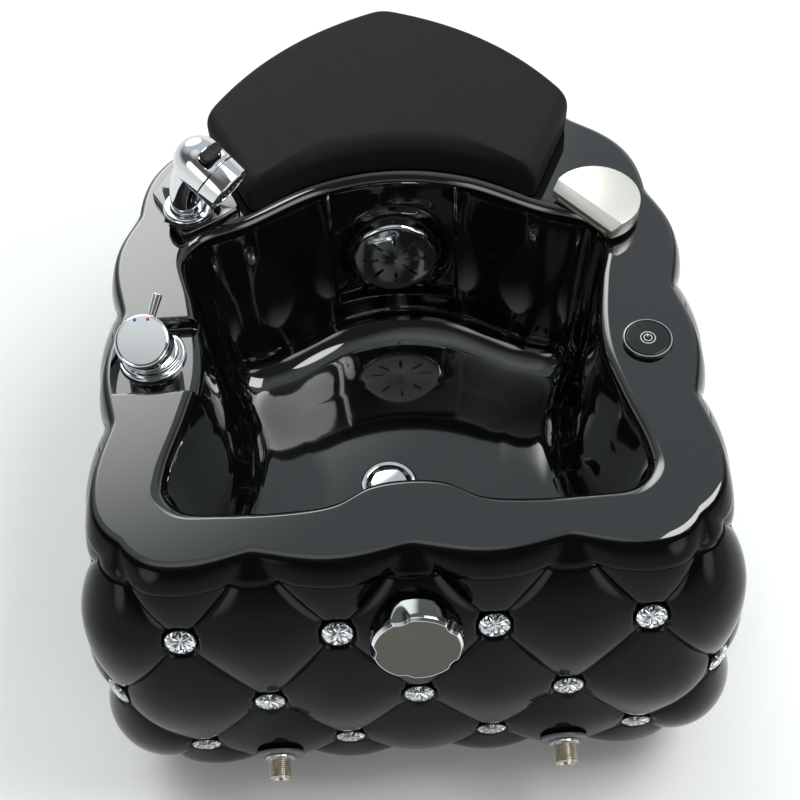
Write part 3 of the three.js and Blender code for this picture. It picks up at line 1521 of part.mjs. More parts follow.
const coldHose = [
  nippleEnd(1),
  nippleEnd(1, 18),
  [80, fromFront(36), 72],
  [0, fromFront(40), 60],
  [-90, fromFront(38), 72],
  [-fromSide(80), fromFront(58), 136],
  [-fromSide(42), fromFront(88), 176],
  [-fromSide(38), fromFront(150), 232],
  portEnd(PORT_ANGLES.cold, 44),
  portEnd(PORT_ANGLES.cold),
];
piece("cold_supply_hose", hose(coldHose, HOSE_RADIUS), BRAID);

const shankBottom = RIM_HEIGHT - SPOUT_SHANK_LENGTH - SEAT;
const spoutHose = [
  portEnd(PORT_ANGLES.spout),
  portEnd(PORT_ANGLES.spout, 46),
  [-fromSide(8), fromFront(300), 205],
  [-fromSide(10), fromFront(380), 150],
  [-fromSide(90), fromFront(486), 140],
  [0, fromFront(528), 140],
  [fromSide(90), fromFront(486), 140],
  [fromSide(34), fromFront(412), 190],
  [shankX, fromFront(shankAt), shankBottom - 30],
  [shankX, fromFront(shankAt), shankBottom],
];
piece("spout_feed_hose", hose(spoutHose, HOSE_RADIUS), BRAID);

const showerAxis = [showerX, fromFront(SHOWER_AT)];
const showerHose = [
  portEnd(PORT_ANGLES.shower),
  portEnd(PORT_ANGLES.shower, 42),
  [-fromSide(42), fromFront(284), 190],
  [-fromSide(44), fromFront(298), 100],
  [-fromSide(48), fromFront(330), 58],
  [-fromSide(53), fromFront(362), 95],
  [...showerAxis, hoseJoin - 40],
  [...showerAxis, hoseJoin - SEAT],
];
piece("shower_hose_loop", hose(showerHose, HOSE_RADIUS), BRAID);

export default footSpa;
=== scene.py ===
import logging
import math
from dataclasses import dataclass, field
from enum import Enum
from typing import Callable, Iterable, Optional, Sequence

import bmesh
import bpy
import numpy as np
from mathutils import Matrix, Vector


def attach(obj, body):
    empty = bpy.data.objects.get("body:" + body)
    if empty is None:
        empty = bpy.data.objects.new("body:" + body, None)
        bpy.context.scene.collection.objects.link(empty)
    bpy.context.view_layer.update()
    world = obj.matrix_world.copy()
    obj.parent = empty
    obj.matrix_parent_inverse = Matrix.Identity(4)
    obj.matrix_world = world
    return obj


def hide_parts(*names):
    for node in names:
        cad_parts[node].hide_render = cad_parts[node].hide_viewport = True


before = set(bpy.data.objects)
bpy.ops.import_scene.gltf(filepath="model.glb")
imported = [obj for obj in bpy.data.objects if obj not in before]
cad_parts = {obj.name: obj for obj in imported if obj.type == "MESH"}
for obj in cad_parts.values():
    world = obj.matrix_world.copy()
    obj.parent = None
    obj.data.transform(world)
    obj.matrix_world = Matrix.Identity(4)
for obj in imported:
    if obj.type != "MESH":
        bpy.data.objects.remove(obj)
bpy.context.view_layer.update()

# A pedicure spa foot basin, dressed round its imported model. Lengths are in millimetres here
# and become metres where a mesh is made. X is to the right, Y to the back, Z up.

MM = 0.001
CRISP_ANGLE = 35.0  # edges sharper than this many degrees stay crisp
log = logging.getLogger("foot_basin")

Profile = Sequence[tuple[float, float]]
Triple = tuple[float, float, float]


# ------------------------------------------------------------------------------ materials


def linear(hex_colour: str) -> tuple[float, float, float, float]:
    """Turn an sRGB hex colour into Blender's linear colour.

    Args:
        hex_colour: the colour as "#rrggbb".

    Returns:
        Linear red, green, blue and an alpha of 1.
    """
    channels = [int(hex_colour[i : i + 2], 16) / 255 for i in (1, 3, 5)]
    curved = [c / 12.92 if c <= 0.04045 else ((c + 0.055) / 1.055) ** 2.4 for c in channels]
    return (*curved, 1.0)


def node(
    tree: bpy.types.NodeTree, kind: str, inputs: Optional[dict] = None, **settings: object
) -> bpy.types.Node:
    """Add a node with its settings and links.

    Args:
        tree: the tree that gets the node.
        kind: the node's type name.
        inputs: socket name or index to a value, or to the socket that feeds it.
        settings: the node's own properties.

    Returns:
        The new node.
    """
    made = tree.nodes.new(kind)
    for name, value in settings.items():
        setattr(made, name, value)
    for name, value in (inputs or {}).items():
        socket = made.inputs[name]
        if isinstance(value, bpy.types.NodeSocket):
            tree.links.new(value, socket)
        else:
            socket.default_value = value
    return made


@dataclass(frozen=True)
class Finish:
    """A surface finish: colours, gloss and the small relief that its making leaves.

    Attributes:
        name: the material's name, for what it is and how it was made.
        colour: main colour.
        second: colour that the main one drifts to.
        drift_mm: size of the patches of colour and gloss.
        roughness: roughness at the glossiest places.
        roughness_spread: how much duller the dullest places are.
        metallic: 1 on bare metal.
        ior: index of refraction, where the finish isn't metal.
        relief_mm: size of the surface's bumps, 0 for none.
        relief_depth_mm: height of the bumps.
        coat: weight of a clear coat.
        transmission: 1 for clear glass.
        stretch: scale of the pattern along X, Y and Z.
    """

    name: str
    colour: str
    second: str
    drift_mm: float
    roughness: float
    roughness_spread: float
    metallic: float = 0.0
    ior: float = 1.5
    relief_mm: float = 0.0
    relief_depth_mm: float = 0.0
    coat: float = 0.0
    transmission: float = 0.0
    stretch: Triple = (1.0, 1.0, 1.0)

    def material(self) -> bpy.types.Material:
        """Build the finish, or return it if it was built before.

        Returns:
            The material.
        """
        found = bpy.data.materials.get(self.name)
        if found:
            return found
        made = bpy.data.materials.new(self.name)
        made.use_nodes = True
        tree = made.node_tree
        tree.nodes.clear()
        place = node(tree, "ShaderNodeTexCoord").outputs["Object"]
        scaled = node(tree, "ShaderNodeMapping", {"Vector": place, "Scale": self.stretch})
        drift = self._noise(tree, scaled.outputs[0], self.drift_mm, detail=4.0)
        colours = {"Factor": drift, 6: linear(self.colour), 7: linear(self.second)}
        colour = node(tree, "ShaderNodeMix", colours, data_type="RGBA")
        fine = self._noise(tree, scaled.outputs[0], self.drift_mm / 5, detail=6.0)
        gloss = {"Value": fine, 3: self.roughness, 4: self.roughness + self.roughness_spread}
        inputs = {
            "Base Color": colour.outputs[2],
            "Roughness": node(tree, "ShaderNodeMapRange", gloss).outputs[0],
            "Metallic": self.metallic,
            "IOR": self.ior,
            "Coat Weight": self.coat,
            "Transmission Weight": self.transmission,
        }
        shader = node(tree, "ShaderNodeBsdfPrincipled", inputs)
        if self.relief_mm:
            height = self._noise(tree, scaled.outputs[0], self.relief_mm, detail=3.0)
            relief = {"Height": height, "Strength": 1.0, "Distance": self.relief_depth_mm * MM}
            bump = node(tree, "ShaderNodeBump", relief)
            tree.links.new(bump.outputs[0], shader.inputs["Normal"])
        node(tree, "ShaderNodeOutputMaterial", {"Surface": shader.outputs[0]})
        return made

    @staticmethod
    def _noise(
        tree: bpy.types.NodeTree, place: bpy.types.NodeSocket, size_mm: float, detail: float
    ) -> bpy.types.NodeSocket:
        """Add a noise whose features are about size_mm across and return its value socket."""
        inputs = {"Vector": place, "Scale": 1 / (size_mm * MM), "Detail": detail}
        return node(tree, "ShaderNodeTexNoise", inputs).outputs[0]


# Glass-fibre gelcoat: deep black with a faint orange peel that bends reflections. The deck and
# bowl take a lacquered copy that mirrors more. The skirt and the lip's outer face take a darker
# copy with a weak reflection, a painted shade that keeps them black beside the pale floor.
LACQUERED_GELCOAT = Finish("lacquered_black_gelcoat", "#07090a", "#0a0c0d", 60, 0.04, 0.04,
                           coat=1.0, relief_mm=16, relief_depth_mm=0.015)
# Darker, weakly reflecting copy of the gelcoat: painted shade on the skirt and lip.
GELCOAT = Finish("black_gelcoat_painted_shade", "#050505", "#080808", 60, 0.05, 0.05, ior=1.24,
                 relief_mm=14, relief_depth_mm=0.02)
# Integral-skin polyurethane foam: matte charcoal with a fine leather-like grain.
FOAM_SKIN = Finish("moulded_foam_skin", "#141511", "#191a15", 45, 0.6, 0.1, ior=1.22,
                   relief_mm=1.1, relief_depth_mm=0.12)
# Chrome plate on brass: mirror bright, with wiped-dry smears that dull it a little.
CHROME = Finish("polished_chrome_plate", "#e4e6e8", "#d4d7da", 30, 0.03, 0.04, metallic=1)
# Drain knob: chrome with a smoked tone that is partly its own and partly painted reflection.
# The side copy is darkened as a painted dark reflection of the lip above it. The face copy is
# warmer and darkened as a painted reflection of the dark surroundings it mirrors.
SIDE_CHROME_PAINTED_REFLECTION = Finish("side_chrome_painted_dark_reflection", "#6c6e6d", "#626463", 20, 0.035, 0.05,
                     metallic=1)
SMOKED_CHROME_PAINTED_REFLECTION = Finish("smoked_chrome_painted_reflection", "#5f5c56", "#57544e", 20, 0.05, 0.06, metallic=1)
# Satin nickel on the spout: pale, soft reflections.
SATIN = Finish("satin_nickel_plate", "#f6f1e8", "#ece8e0", 25, 0.3, 0.06, metallic=1)
# Dull nickel on the supply threads: warmer and greyer than chrome.
NICKEL = Finish("tumbled_nickel_plate", "#cbc3b6", "#b3ab9e", 8, 0.25, 0.12, metallic=1,
                relief_mm=1.5, relief_depth_mm=0.03)
# Machined brass of the valve, nuts and bushes.
BRASS = Finish("machined_brass", "#b58f4c", "#9c7a3d", 12, 0.25, 0.12, metallic=1,
               relief_mm=1.2, relief_depth_mm=0.02)
# Acrylic stone, clear: the light comes back from the foil inside it.
ACRYLIC = Finish("clear_acrylic_stone", "#ffffff", "#ffffff", 20, 0.01, 0.02, ior=1.49,
                 transmission=1)
# Silver foil in the stone: mirror facets.
FOIL = Finish("silver_foil", "#f2f4f6", "#dfe3e6", 6, 0.06, 0.06, metallic=1)
# Moulded ABS, half gloss, and a duller grade for the spray button.
BLACK_ABS = Finish("moulded_black_abs", "#0d0e0f", "#131415", 20, 0.16, 0.1,
                   relief_mm=2.0, relief_depth_mm=0.01)
SOFT_BLACK = Finish("moulded_soft_black", "#0b0b0b", "#101010", 12, 0.4, 0.1, ior=1.3,
                    relief_mm=1.2, relief_depth_mm=0.01)
GREY_NYLON = Finish("moulded_grey_nylon", "#8f9294", "#7f8284", 15, 0.4, 0.15,
                    relief_mm=1.5, relief_depth_mm=0.03)
WASHER_NYLON = Finish("moulded_dark_grey_nylon", "#606366", "#55585b", 15, 0.3, 0.1,
                      relief_mm=1.5, relief_depth_mm=0.02)
WHITE_ACETAL = Finish("moulded_white_acetal", "#d7d7d2", "#c9c9c3", 15, 0.35, 0.1,
                      relief_mm=1.5, relief_depth_mm=0.02)
# Moulded rubber of feet and gaskets.
RUBBER = Finish("moulded_rubber", "#1b1b1b", "#232323", 12, 0.7, 0.15,
                relief_mm=0.8, relief_depth_mm=0.05)
# Stainless braid of the hoses, drawn as coarse as it needs to show.
BRAID = Finish("stainless_braid", "#a3a5a7", "#6f7173", 3, 0.3, 0.2, metallic=1,
               relief_mm=1.4, relief_depth_mm=0.15)
# Sealed board under the tub.
SEALED_BOARD = Finish("sealed_board", "#4c4138", "#3b322b", 30, 0.6, 0.15,
                      relief_mm=2.5, relief_depth_mm=0.08, stretch=(1.0, 0.15, 1.0))
HOT_DOT = Finish("red_enamel_dot", "#c9201c", "#b81a18", 2, 0.3, 0.05)
COLD_DOT = Finish("blue_enamel_dot", "#2451c4", "#1f47b0", 2, 0.3, 0.05)
PALE_MARK = Finish("pale_printed_mark", "#c9cdd0", "#bfc4c7", 4, 0.35, 0.05)
MATTE_FLOOR = Finish("matte_floor", "#fbfbfb", "#fbfbfb", 500, 0.8, 0.1)


class Slot(str, Enum):
    """The record's material slots that hidden and plain nodes are in."""

    BRASS = "brass"
    RUBBER = "rubber"
    BLACK_PLASTIC = "black_plastic"
    GREY_PLASTIC = "grey_plastic"
    WHITE_PLASTIC = "white_plastic"
    BRAID = "braid"
    BOARD = "board"


PLAIN_FINISHES = {
    Slot.BRASS: BRASS,
    Slot.RUBBER: RUBBER,
    Slot.BLACK_PLASTIC: BLACK_ABS,
    Slot.GREY_PLASTIC: GREY_NYLON,
    Slot.WHITE_PLASTIC: WHITE_ACETAL,
    Slot.BRAID: BRAID,
    Slot.BOARD: SEALED_BOARD,
}


# ------------------------------------------------------------------------------ meshes


@dataclass
class Shape:
    """Vertices and faces in millimetres, with a finish number for each face."""

    points: np.ndarray
    faces: list[tuple[int, ...]]
    finish: list[int] = field(default_factory=list)

    def __post_init__(self) -> None:
        """Give every face finish 0 where none is said."""
        if not self.finish:
            self.finish = [0] * len(self.faces)

    def moved(self, matrix: Matrix) -> "Shape":
        """The shape after a 4 by 4 matrix whose move is in millimetres."""
        m = np.array(matrix)
        return Shape(self.points @ m[:3, :3].T + m[:3, 3], self.faces, self.finish)

    def painted(self, number: int) -> "Shape":
        """The shape with every face in one finish."""
        return Shape(self.points, self.faces, [number] * len(self.faces))


def merged(shapes: Iterable[Shape]) -> Shape:
    """Put several shapes into one.

    Args:
        shapes: the shapes, in order.

    Returns:
        One shape with all their faces.
    """
    points, faces, finish, start = [], [], [], 0
    for shape in shapes:
        points.append(shape.points)
        faces += [tuple(i + start for i in face) for face in shape.faces]
        finish += shape.finish
        start += len(shape.points)
    return Shape(np.vstack(points), faces, finish)


def eased(value: np.ndarray) -> np.ndarray:
    """A soft step: 0 up to 0, 1 from 1 on."""
    share = np.clip(value, 0, 1)
    return share * share * (3 - 2 * share)


def turns(count: int) -> np.ndarray:
    """Evenly spaced angles of a full turn."""
    return np.linspace(0, 2 * math.pi, count, endpoint=False)


def level(flat: np.ndarray, height: float | np.ndarray) -> np.ndarray:
    """The points of a plan, lifted to one height or to one height each."""
    return np.column_stack([flat, np.broadcast_to(height, len(flat))])


def circle(
    radius: float | np.ndarray, height: float | np.ndarray, angles: np.ndarray
) -> np.ndarray:
    """A level ring round Z, of one radius or of one radius for each angle."""
    return level(np.column_stack([radius * np.cos(angles), radius * np.sin(angles)]), height)


def arc(radius: float, first: float, last: float, count: int, lift: float = 0) -> list:
    """Points (radius, height) of a round profile.

    Args:
        radius: the arc's radius.
        first: angle of the first point above the level, in radians.
        last: angle of the last point.
        count: number of points.
        lift: height of the arc's centre.

    Returns:
        The points.
    """
    angles = np.linspace(first, last, count)
    return [(radius * math.cos(a), lift + radius * math.sin(a)) for a in angles]


def facing(turn: float, dip: float) -> Vector:
    """The direction that is turned from +X about Z and dips below the level, in degrees."""
    turn, dip = math.radians(turn), math.radians(dip)
    return Vector((math.cos(turn) * math.cos(dip), math.sin(turn) * math.cos(dip), -math.sin(dip)))


def grid(rows: Sequence[np.ndarray], closed_columns: bool = False) -> Shape:
    """A skin of quads through rows of points, each row closed on itself.

    Args:
        rows: rows of equally many points.
        closed_columns: whether the last row joins the first.

    Returns:
        The skin.
    """
    count, width = len(rows), len(rows[0])
    faces = []
    for r in range(count if closed_columns else count - 1):
        below = ((r + 1) % count) * width
        for c in range(width):
            n = (c + 1) % width
            faces.append((r * width + c, r * width + n, below + n, below + c))
    return Shape(np.concatenate(rows), faces)


def capped(rows: Sequence[np.ndarray]) -> Shape:
    """A skin through rows of points, with a face on its first and on its last row.

    Args:
        rows: rows of equally many points.

    Returns:
        The closed skin, its two end faces last.
    """
    skin, width = grid(rows), len(rows[0])
    last = (len(rows) - 1) * width
    ends = [tuple(range(width - 1, -1, -1)), tuple(range(last, last + width))]
    return Shape(skin.points, skin.faces + ends)


def revolve(profile: Profile, sides: int = 96) -> Shape:
    """Turn a profile of (radius, height) round Z. Points on the axis become poles.

    Args:
        profile: the half section, from bottom to top outside.
        sides: faces round the axis.

    Returns:
        A shape, closed where the profile ends on the axis or on itself.
    """
    return grid([circle(radius, height, turns(sides)) for radius, height in profile])


def block(x: float, y: float, z: float, at: Triple) -> Shape:
    """A box of three sizes with its middle at a point.

    Args:
        x: size along X.
        y: size along Y.
        z: size along Z.
        at: its middle.

    Returns:
        The box.
    """
    signs = (-1, 1)
    corners = [(sx * x / 2, sy * y / 2, sz * z / 2) for sz in signs for sy in signs for sx in signs]
    faces = [(0, 2, 3, 1), (4, 5, 7, 6), (0, 1, 5, 4), (2, 6, 7, 3), (0, 4, 6, 2), (1, 3, 7, 5)]
    return Shape(np.array(corners) + np.array(at), faces)


def rounded(profile: Profile, radius: float, steps: int = 4) -> list[tuple[float, float]]:
    """Round the corners inside a profile.

    Args:
        profile: the corners.
        radius: the largest fillet; short legs get less.
        steps: points on each fillet.

    Returns:
        The profile with fillets, its two ends unchanged.
    """
    corners = [Vector((r, h)) for r, h in profile]
    made = [tuple(corners[0])]
    for before, corner, after in zip(corners, corners[1:], corners[2:]):
        a, b = before - corner, after - corner
        reach = min(radius, a.length * 0.45, b.length * 0.45)
        if reach < 1e-4 or a.length < 1e-6 or b.length < 1e-6:
            made.append(tuple(corner))
            continue
        p, q = corner + a.normalized() * reach, corner + b.normalized() * reach
        for t in (i / steps for i in range(steps + 1)):
            made.append(tuple(p * (1 - t) ** 2 + corner * (2 * t * (1 - t)) + q * t**2))
    made.append(tuple(corners[-1]))
    return made


def axis_matrix(origin: Vector, axis: Vector) -> Matrix:
    """The matrix that moves +Z onto an axis through an origin, turned the shortest way."""
    turn = Vector((0, 0, 1)).rotation_difference(axis.normalized()).to_matrix().to_4x4()
    return Matrix.Translation(origin) @ turn


def crisp(mesh: bpy.types.Mesh, angle: float = CRISP_ANGLE) -> None:
    """Shade a mesh smooth, but for edges sharper than an angle in degrees."""
    mesh.shade_smooth()
    mesh.set_sharp_from_angle(angle=math.radians(angle))


def build(
    name: str, shape: Shape, finishes: Sequence[Finish], smooth_angle: float = CRISP_ANGLE
) -> bpy.types.Object:
    """Make a mesh object from a shape, welded, facing out and shaded smooth.

    Args:
        name: the piece's name.
        shape: its shape in millimetres.
        finishes: the finishes that its face numbers stand for.
        smooth_angle: edges sharper than this many degrees stay crisp.

    Returns:
        The object, at the origin.
    """
    mesh = bpy.data.meshes.new(name)
    mesh.from_pydata((shape.points * MM).tolist(), [], shape.faces)
    mesh.polygons.foreach_set("material_index", shape.finish)
    for finish in finishes:
        mesh.materials.append(finish.material())
    work = bmesh.new()
    work.from_mesh(mesh)
    bmesh.ops.remove_doubles(work, verts=work.verts, dist=1e-6)
    bmesh.ops.dissolve_degenerate(work, edges=work.edges, dist=1e-7)
    bmesh.ops.recalc_face_normals(work, faces=work.faces)
    work.to_mesh(mesh)
    work.free()
    crisp(mesh, smooth_angle)
    made = bpy.data.objects.new(name, mesh)
    bpy.context.scene.collection.objects.link(made)
    return made


def baked(piece: bpy.types.Object) -> bpy.types.Object:
    """Apply a piece's modifiers to its mesh.

    Args:
        piece: the piece.

    Returns:
        The same object with its new mesh.
    """
    bpy.context.view_layer.update()
    evaluated = piece.evaluated_get(bpy.context.evaluated_depsgraph_get())
    mesh = bpy.data.meshes.new_from_object(evaluated)
    piece.modifiers.clear()
    piece.data = mesh
    return piece


def cut(target: bpy.types.Object, finish: Finish, *shapes: Shape) -> None:
    """Take closed shapes out of a closed piece, one after another.

    Args:
        target: the piece that is cut.
        finish: the finish of the faces that the cuts leave.
        shapes: what is taken out.
    """
    for shape in shapes:
        tool = build("cutter", shape, [finish])
        modifier = target.modifiers.new("cut", "BOOLEAN")
        modifier.operation = "DIFFERENCE"
        modifier.solver = "MANIFOLD"
        modifier.object = tool
        baked(target)
        bpy.data.objects.remove(tool)


def softened(piece: bpy.types.Object, width: float, segments: int, angle: float = 40) -> None:
    """Round a piece's sharp edges and bake them.

    Args:
        piece: the piece.
        width: the rounding in millimetres.
        segments: faces across it.
        angle: edges sharper than this many degrees are rounded.
    """
    modifier = piece.modifiers.new("soft_edges", "BEVEL")
    modifier.width = width * MM
    modifier.segments = segments
    modifier.limit_method = "ANGLE"
    modifier.angle_limit = math.radians(angle)
    modifier.harden_normals = False
    baked(piece)
    crisp(piece.data)


def fit(piece: bpy.types.Object, body: str, slot: str, *nodes: str) -> None:
    """Let a piece ride on a body and stand for its nodes.

    Args:
        piece: the finished piece.
        body: the body that it rides on.
        slot: not used.
        nodes: the nodes that it stands for.
    """
    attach(piece, body)
    if nodes:
        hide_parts(*nodes)
    log.info("%s rides on %s for %s", piece.name, body, ", ".join(nodes) or "no node")


def lathe(
    name: str,
    profile: Profile,
    finish: Finish,
    matrix: Matrix,
    fillet: float = 0.6,
    sides: int = 96,
) -> bpy.types.Object:
    """Make one turned piece.

    Args:
        name: the piece's name.
        profile: its half section.
        finish: its finish.
        matrix: where it goes, its move in millimetres.
        fillet: rounding of the profile's corners.
        sides: faces round the axis.

    Returns:
        The piece.
    """
    return build(name, revolve(rounded(profile, fillet), sides).moved(matrix), [finish])


def scatter(
    name: str, shape: Shape, places: Sequence[tuple[Vector, Vector]], finish: Finish
) -> bpy.types.Object:
    """Copy a shape onto places with Geometry Nodes, its +Z along each facing direction.

    Args:
        name: the piece's name.
        shape: what is copied.
        places: point and facing direction of each copy.
        finish: the copies' finish.

    Returns:
        One object with all the copies as plain mesh, each turned at random.
    """
    pattern = build(f"{name}_pattern", shape, [finish])
    mesh = bpy.data.meshes.new(name)
    mesh.from_pydata([tuple(p * MM) for p, _ in places], [], [])
    outward = mesh.attributes.new("facing", "FLOAT_VECTOR", "POINT")
    outward.data.foreach_set("vector", [c for _, n in places for c in n])
    holder = bpy.data.objects.new(name, mesh)
    bpy.context.scene.collection.objects.link(holder)
    tree = bpy.data.node_groups.new(f"{name}_on_points", "GeometryNodeTree")
    sockets = {}
    for label, kind in (("Geometry", "Geometry"), ("Pattern", "Object"), ("Finish", "Material"),
                        ("Spin", "Float"), ("Seed", "Int")):
        sockets[label] = tree.interface.new_socket(
            label, in_out="INPUT", socket_type=f"NodeSocket{kind}")
    tree.interface.new_socket("Geometry", in_out="OUTPUT", socket_type="NodeSocketGeometry")
    given = {socket.name: socket for socket in tree.nodes.new("NodeGroupInput").outputs}
    wanted = node(tree, "GeometryNodeInputNamedAttribute", {"Name": "facing"},
                  data_type="FLOAT_VECTOR")
    turned = node(tree, "FunctionNodeAlignRotationToVector",
                  {"Vector": wanted.outputs["Attribute"]}, axis="Z")
    angle = node(tree, "FunctionNodeRandomValue", {"Max": given["Spin"], "Seed": given["Seed"]})
    angle_value = next(s for s in angle.outputs if s.type == "VALUE" and s.enabled)
    about = node(tree, "ShaderNodeCombineXYZ", {"Z": angle_value})
    own = node(tree, "FunctionNodeRotateRotation",
               {"Rotation": turned.outputs[0], "Rotate By": about.outputs[0]},
               rotation_space="LOCAL")
    source = node(tree, "GeometryNodeObjectInfo", {"Object": given["Pattern"]},
                  transform_space="ORIGINAL")
    copies = node(tree, "GeometryNodeInstanceOnPoints",
                  {"Points": given["Geometry"], "Instance": source.outputs["Geometry"],
                   "Rotation": own.outputs[0]})
    real = node(tree, "GeometryNodeRealizeInstances", {"Geometry": copies.outputs[0]})
    painted = node(tree, "GeometryNodeSetMaterial",
                   {"Geometry": real.outputs[0], "Material": given["Finish"]})
    node(tree, "NodeGroupOutput", {0: painted.outputs[0]})
    modifier = holder.modifiers.new("copies", "NODES")
    modifier.node_group = tree
    values = {"Pattern": pattern, "Finish": finish.material(), "Spin": math.pi, "Seed": 7}
    for key, value in values.items():
        modifier[sockets[key].identifier] = value
    made = baked(holder)
    bpy.data.objects.remove(pattern)
    bpy.data.node_groups.remove(tree)
    return made


# ------------------------------------------------------------------------------ tub outline


class RoundedPath:
    """A closed outline of straight lines and round corners, measured along its length."""

    def __init__(self, corners: Sequence[Triple]) -> None:
        """Lay the path out.

        Args:
            corners: x, y and radius of each corner, anticlockwise. The path starts at the
                middle of the first side.
        """
        self.parts: list[tuple] = []
        count = len(corners)
        point = [Vector(c[:2]) for c in corners]
        start = here = (point[0] + point[1]) / 2
        for i in range(1, count + 1):
            at, radius = point[i % count], corners[i % count][2]
            before = (point[(i - 1) % count] - at).normalized()
            after = (point[(i + 1) % count] - at).normalized()
            half = before.angle(after) / 2
            first = at + before * radius / math.tan(half)
            last = at + after * radius / math.tan(half)
            centre = at + (before + after).normalized() * radius / math.sin(half)
            self._line(here, first)
            self._arc(centre, radius, first, last)
            here = last
        self._line(here, start)
        self.length = sum(part[0] for part in self.parts)

    def _line(self, first: Vector, last: Vector) -> None:
        """Add a straight stretch."""
        self.parts.append(((last - first).length, first, (last - first).normalized()))

    def _arc(self, centre: Vector, radius: float, first: Vector, last: Vector) -> None:
        """Add a round stretch, anticlockwise.

        Args:
            centre: middle of the circle.
            radius: its radius.
            first: where it starts.
            last: where it ends.
        """
        low = math.atan2(*(first - centre).yx)
        high = math.atan2(*(last - centre).yx)
        sweep = (high - low) % (2 * math.pi)
        self.parts.append((radius * sweep, centre, radius, low))

    def at(self, distance: float) -> tuple[Vector, Vector]:
        """Follow the path for a distance.

        Args:
            distance: the way from the start.

        Returns:
            The point there and the direction of travel.
        """
        left = distance
        for part in self.parts:
            if left <= part[0] or part is self.parts[-1]:
                break
            left -= part[0]
        if len(part) == 3:
            return part[1] + part[2] * left, part[2]
        _, centre, radius, low = part
        angle = low + left / radius
        out = Vector((math.cos(angle), math.sin(angle)))
        return centre + out * radius, Vector((-out.y, out.x))


@dataclass(frozen=True)
class TubForm:
    """The tub's outside: rim, belly and diamond tufts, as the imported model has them."""

    rim_height: float = 345
    front_y: float = -295.7
    half_width: float = 246
    front_corner: float = 52
    shoulder_at: float = 398
    shoulder_radius: float = 220
    apex_at: float = 696
    apex_radius: float = 98
    belly_front: float = 55
    belly_side: float = 28
    belly_back: float = 30
    belly_corner: float = 60
    belly_depth: float = 197
    belly_fullness: float = 2.4
    belly_ease: float = 0.8
    columns: int = 16
    rim_pitch: float = 126
    belly_pitch: float = 127
    shoulder_notch: float = 55
    row_depths: tuple[float, ...] = (0, 70, 157, 241, 319)
    puff_rim: float = 10.5
    puff_body: float = 14.65
    puff_power: float = 0.6

    def y(self, distance: float) -> float:
        """The Y of a place that lies this far behind the rim's front."""
        return self.front_y + distance

    def _path(self, front: float, side: float, back: float, corner: float) -> RoundedPath:
        """Move the plan out.

        Args:
            front: how far at the front.
            side: how far at the sides.
            back: how far at the slanting back lines.
            corner: radius of the front corners.

        Returns:
            The moved outline.
        """
        slant = Vector((-self.half_width, self.apex_at - self.shoulder_at)).normalized()
        normal = Vector((slant.y, -slant.x))
        wide = self.half_width + side

        def back_at(x: float) -> float:
            """The Y of the moved slanting back line at an X."""
            return self.y(self.shoulder_at + (back - normal.x * (x - self.half_width)) / normal.y)

        radius = self.shoulder_radius + (side + back) / 2
        return RoundedPath([
            (-wide, self.y(-front), corner),
            (wide, self.y(-front), corner),
            (wide, back_at(wide), radius),
            (0, back_at(0), self.apex_radius + back),
            (-wide, back_at(wide), radius),
        ])

    def outline(self, on_belly: bool) -> Callable[[float], tuple[Vector, Vector]]:
        """The rim or the belly as a function of the tuft column.

        Args:
            on_belly: the belly's outline in place of the rim's.

        Returns:
            A function from a column number to the point and outward normal.
        """
        front, side, back, corner, pitch = 0, 0, 0, self.front_corner, self.rim_pitch
        if on_belly:
            front, side, back = self.belly_front, self.belly_side, self.belly_back
            corner, pitch = self.belly_corner, self.belly_pitch
        path = self._path(front, side, back, corner)
        straight = self.half_width + side - corner
        shoulder = straight + corner * math.pi / 2 + path.parts[2][0]
        grown = (self.shoulder_radius + (side + back) / 2) / self.shoulder_radius
        stations = [0, 1, 2, 5, self.columns / 2]
        arcs = [0, pitch, straight + corner * math.pi / 4,
                shoulder + self.shoulder_notch * grown, path.length / 2]

        def at(column: float) -> tuple[Vector, Vector]:
            """Find a column on the outline.

            Args:
                column: the tuft column, counted from the middle of the front.

            Returns:
                The point and the outward normal.
            """
            column %= self.columns
            mirrored = column > self.columns / 2
            station = self.columns - column if mirrored else column
            point, tangent = path.at(float(np.interp(station, stations, arcs)))
            hand = -1 if mirrored else 1
            return Vector((hand * point.x, point.y)), Vector((hand * tangent.y, -tangent.x))

        return at

    def swell(self, depth: float) -> float:
        """Say how far the side has gone from rim to belly.

        Args:
            depth: the depth below the rim.

        Returns:
            The share, 0 on the rim and 1 on the belly.
        """
        above = depth < self.belly_depth
        reach = self.belly_depth if above else self.rim_height - self.belly_depth
        off = min(1.0, abs(depth - self.belly_depth) / reach)
        return (1 - off**self.belly_fullness) ** self.belly_ease

    def row(self, depth: float) -> float:
        """Turn a depth into a tuft row.

        Args:
            depth: the depth below the rim.

        Returns:
            The row; each line of buttons is half a row on.
        """
        depths = self.row_depths
        slope = 0.5 / (depths[-1] - depths[-2])
        if depth > depths[-1]:
            return 0.5 * (len(depths) - 1) + (depth - depths[-1]) * slope
        return float(np.interp(depth, depths, [0.5 * i for i in range(len(depths))]))

    def puff(self, columns: np.ndarray, depth: float) -> np.ndarray:
        """Find how high the tufts stand.

        Args:
            columns: the column numbers.
            depth: the depth below the rim.

        Returns:
            Their height above the valleys at each column.
        """
        row = self.row(depth)
        across = np.abs(np.sin(np.pi * (columns + row)) * np.sin(np.pi * (columns - row)))
        share = min(1.0, depth / self.row_depths[1])
        high = self.puff_rim + (self.puff_body - self.puff_rim) * share
        return high * across**self.puff_power


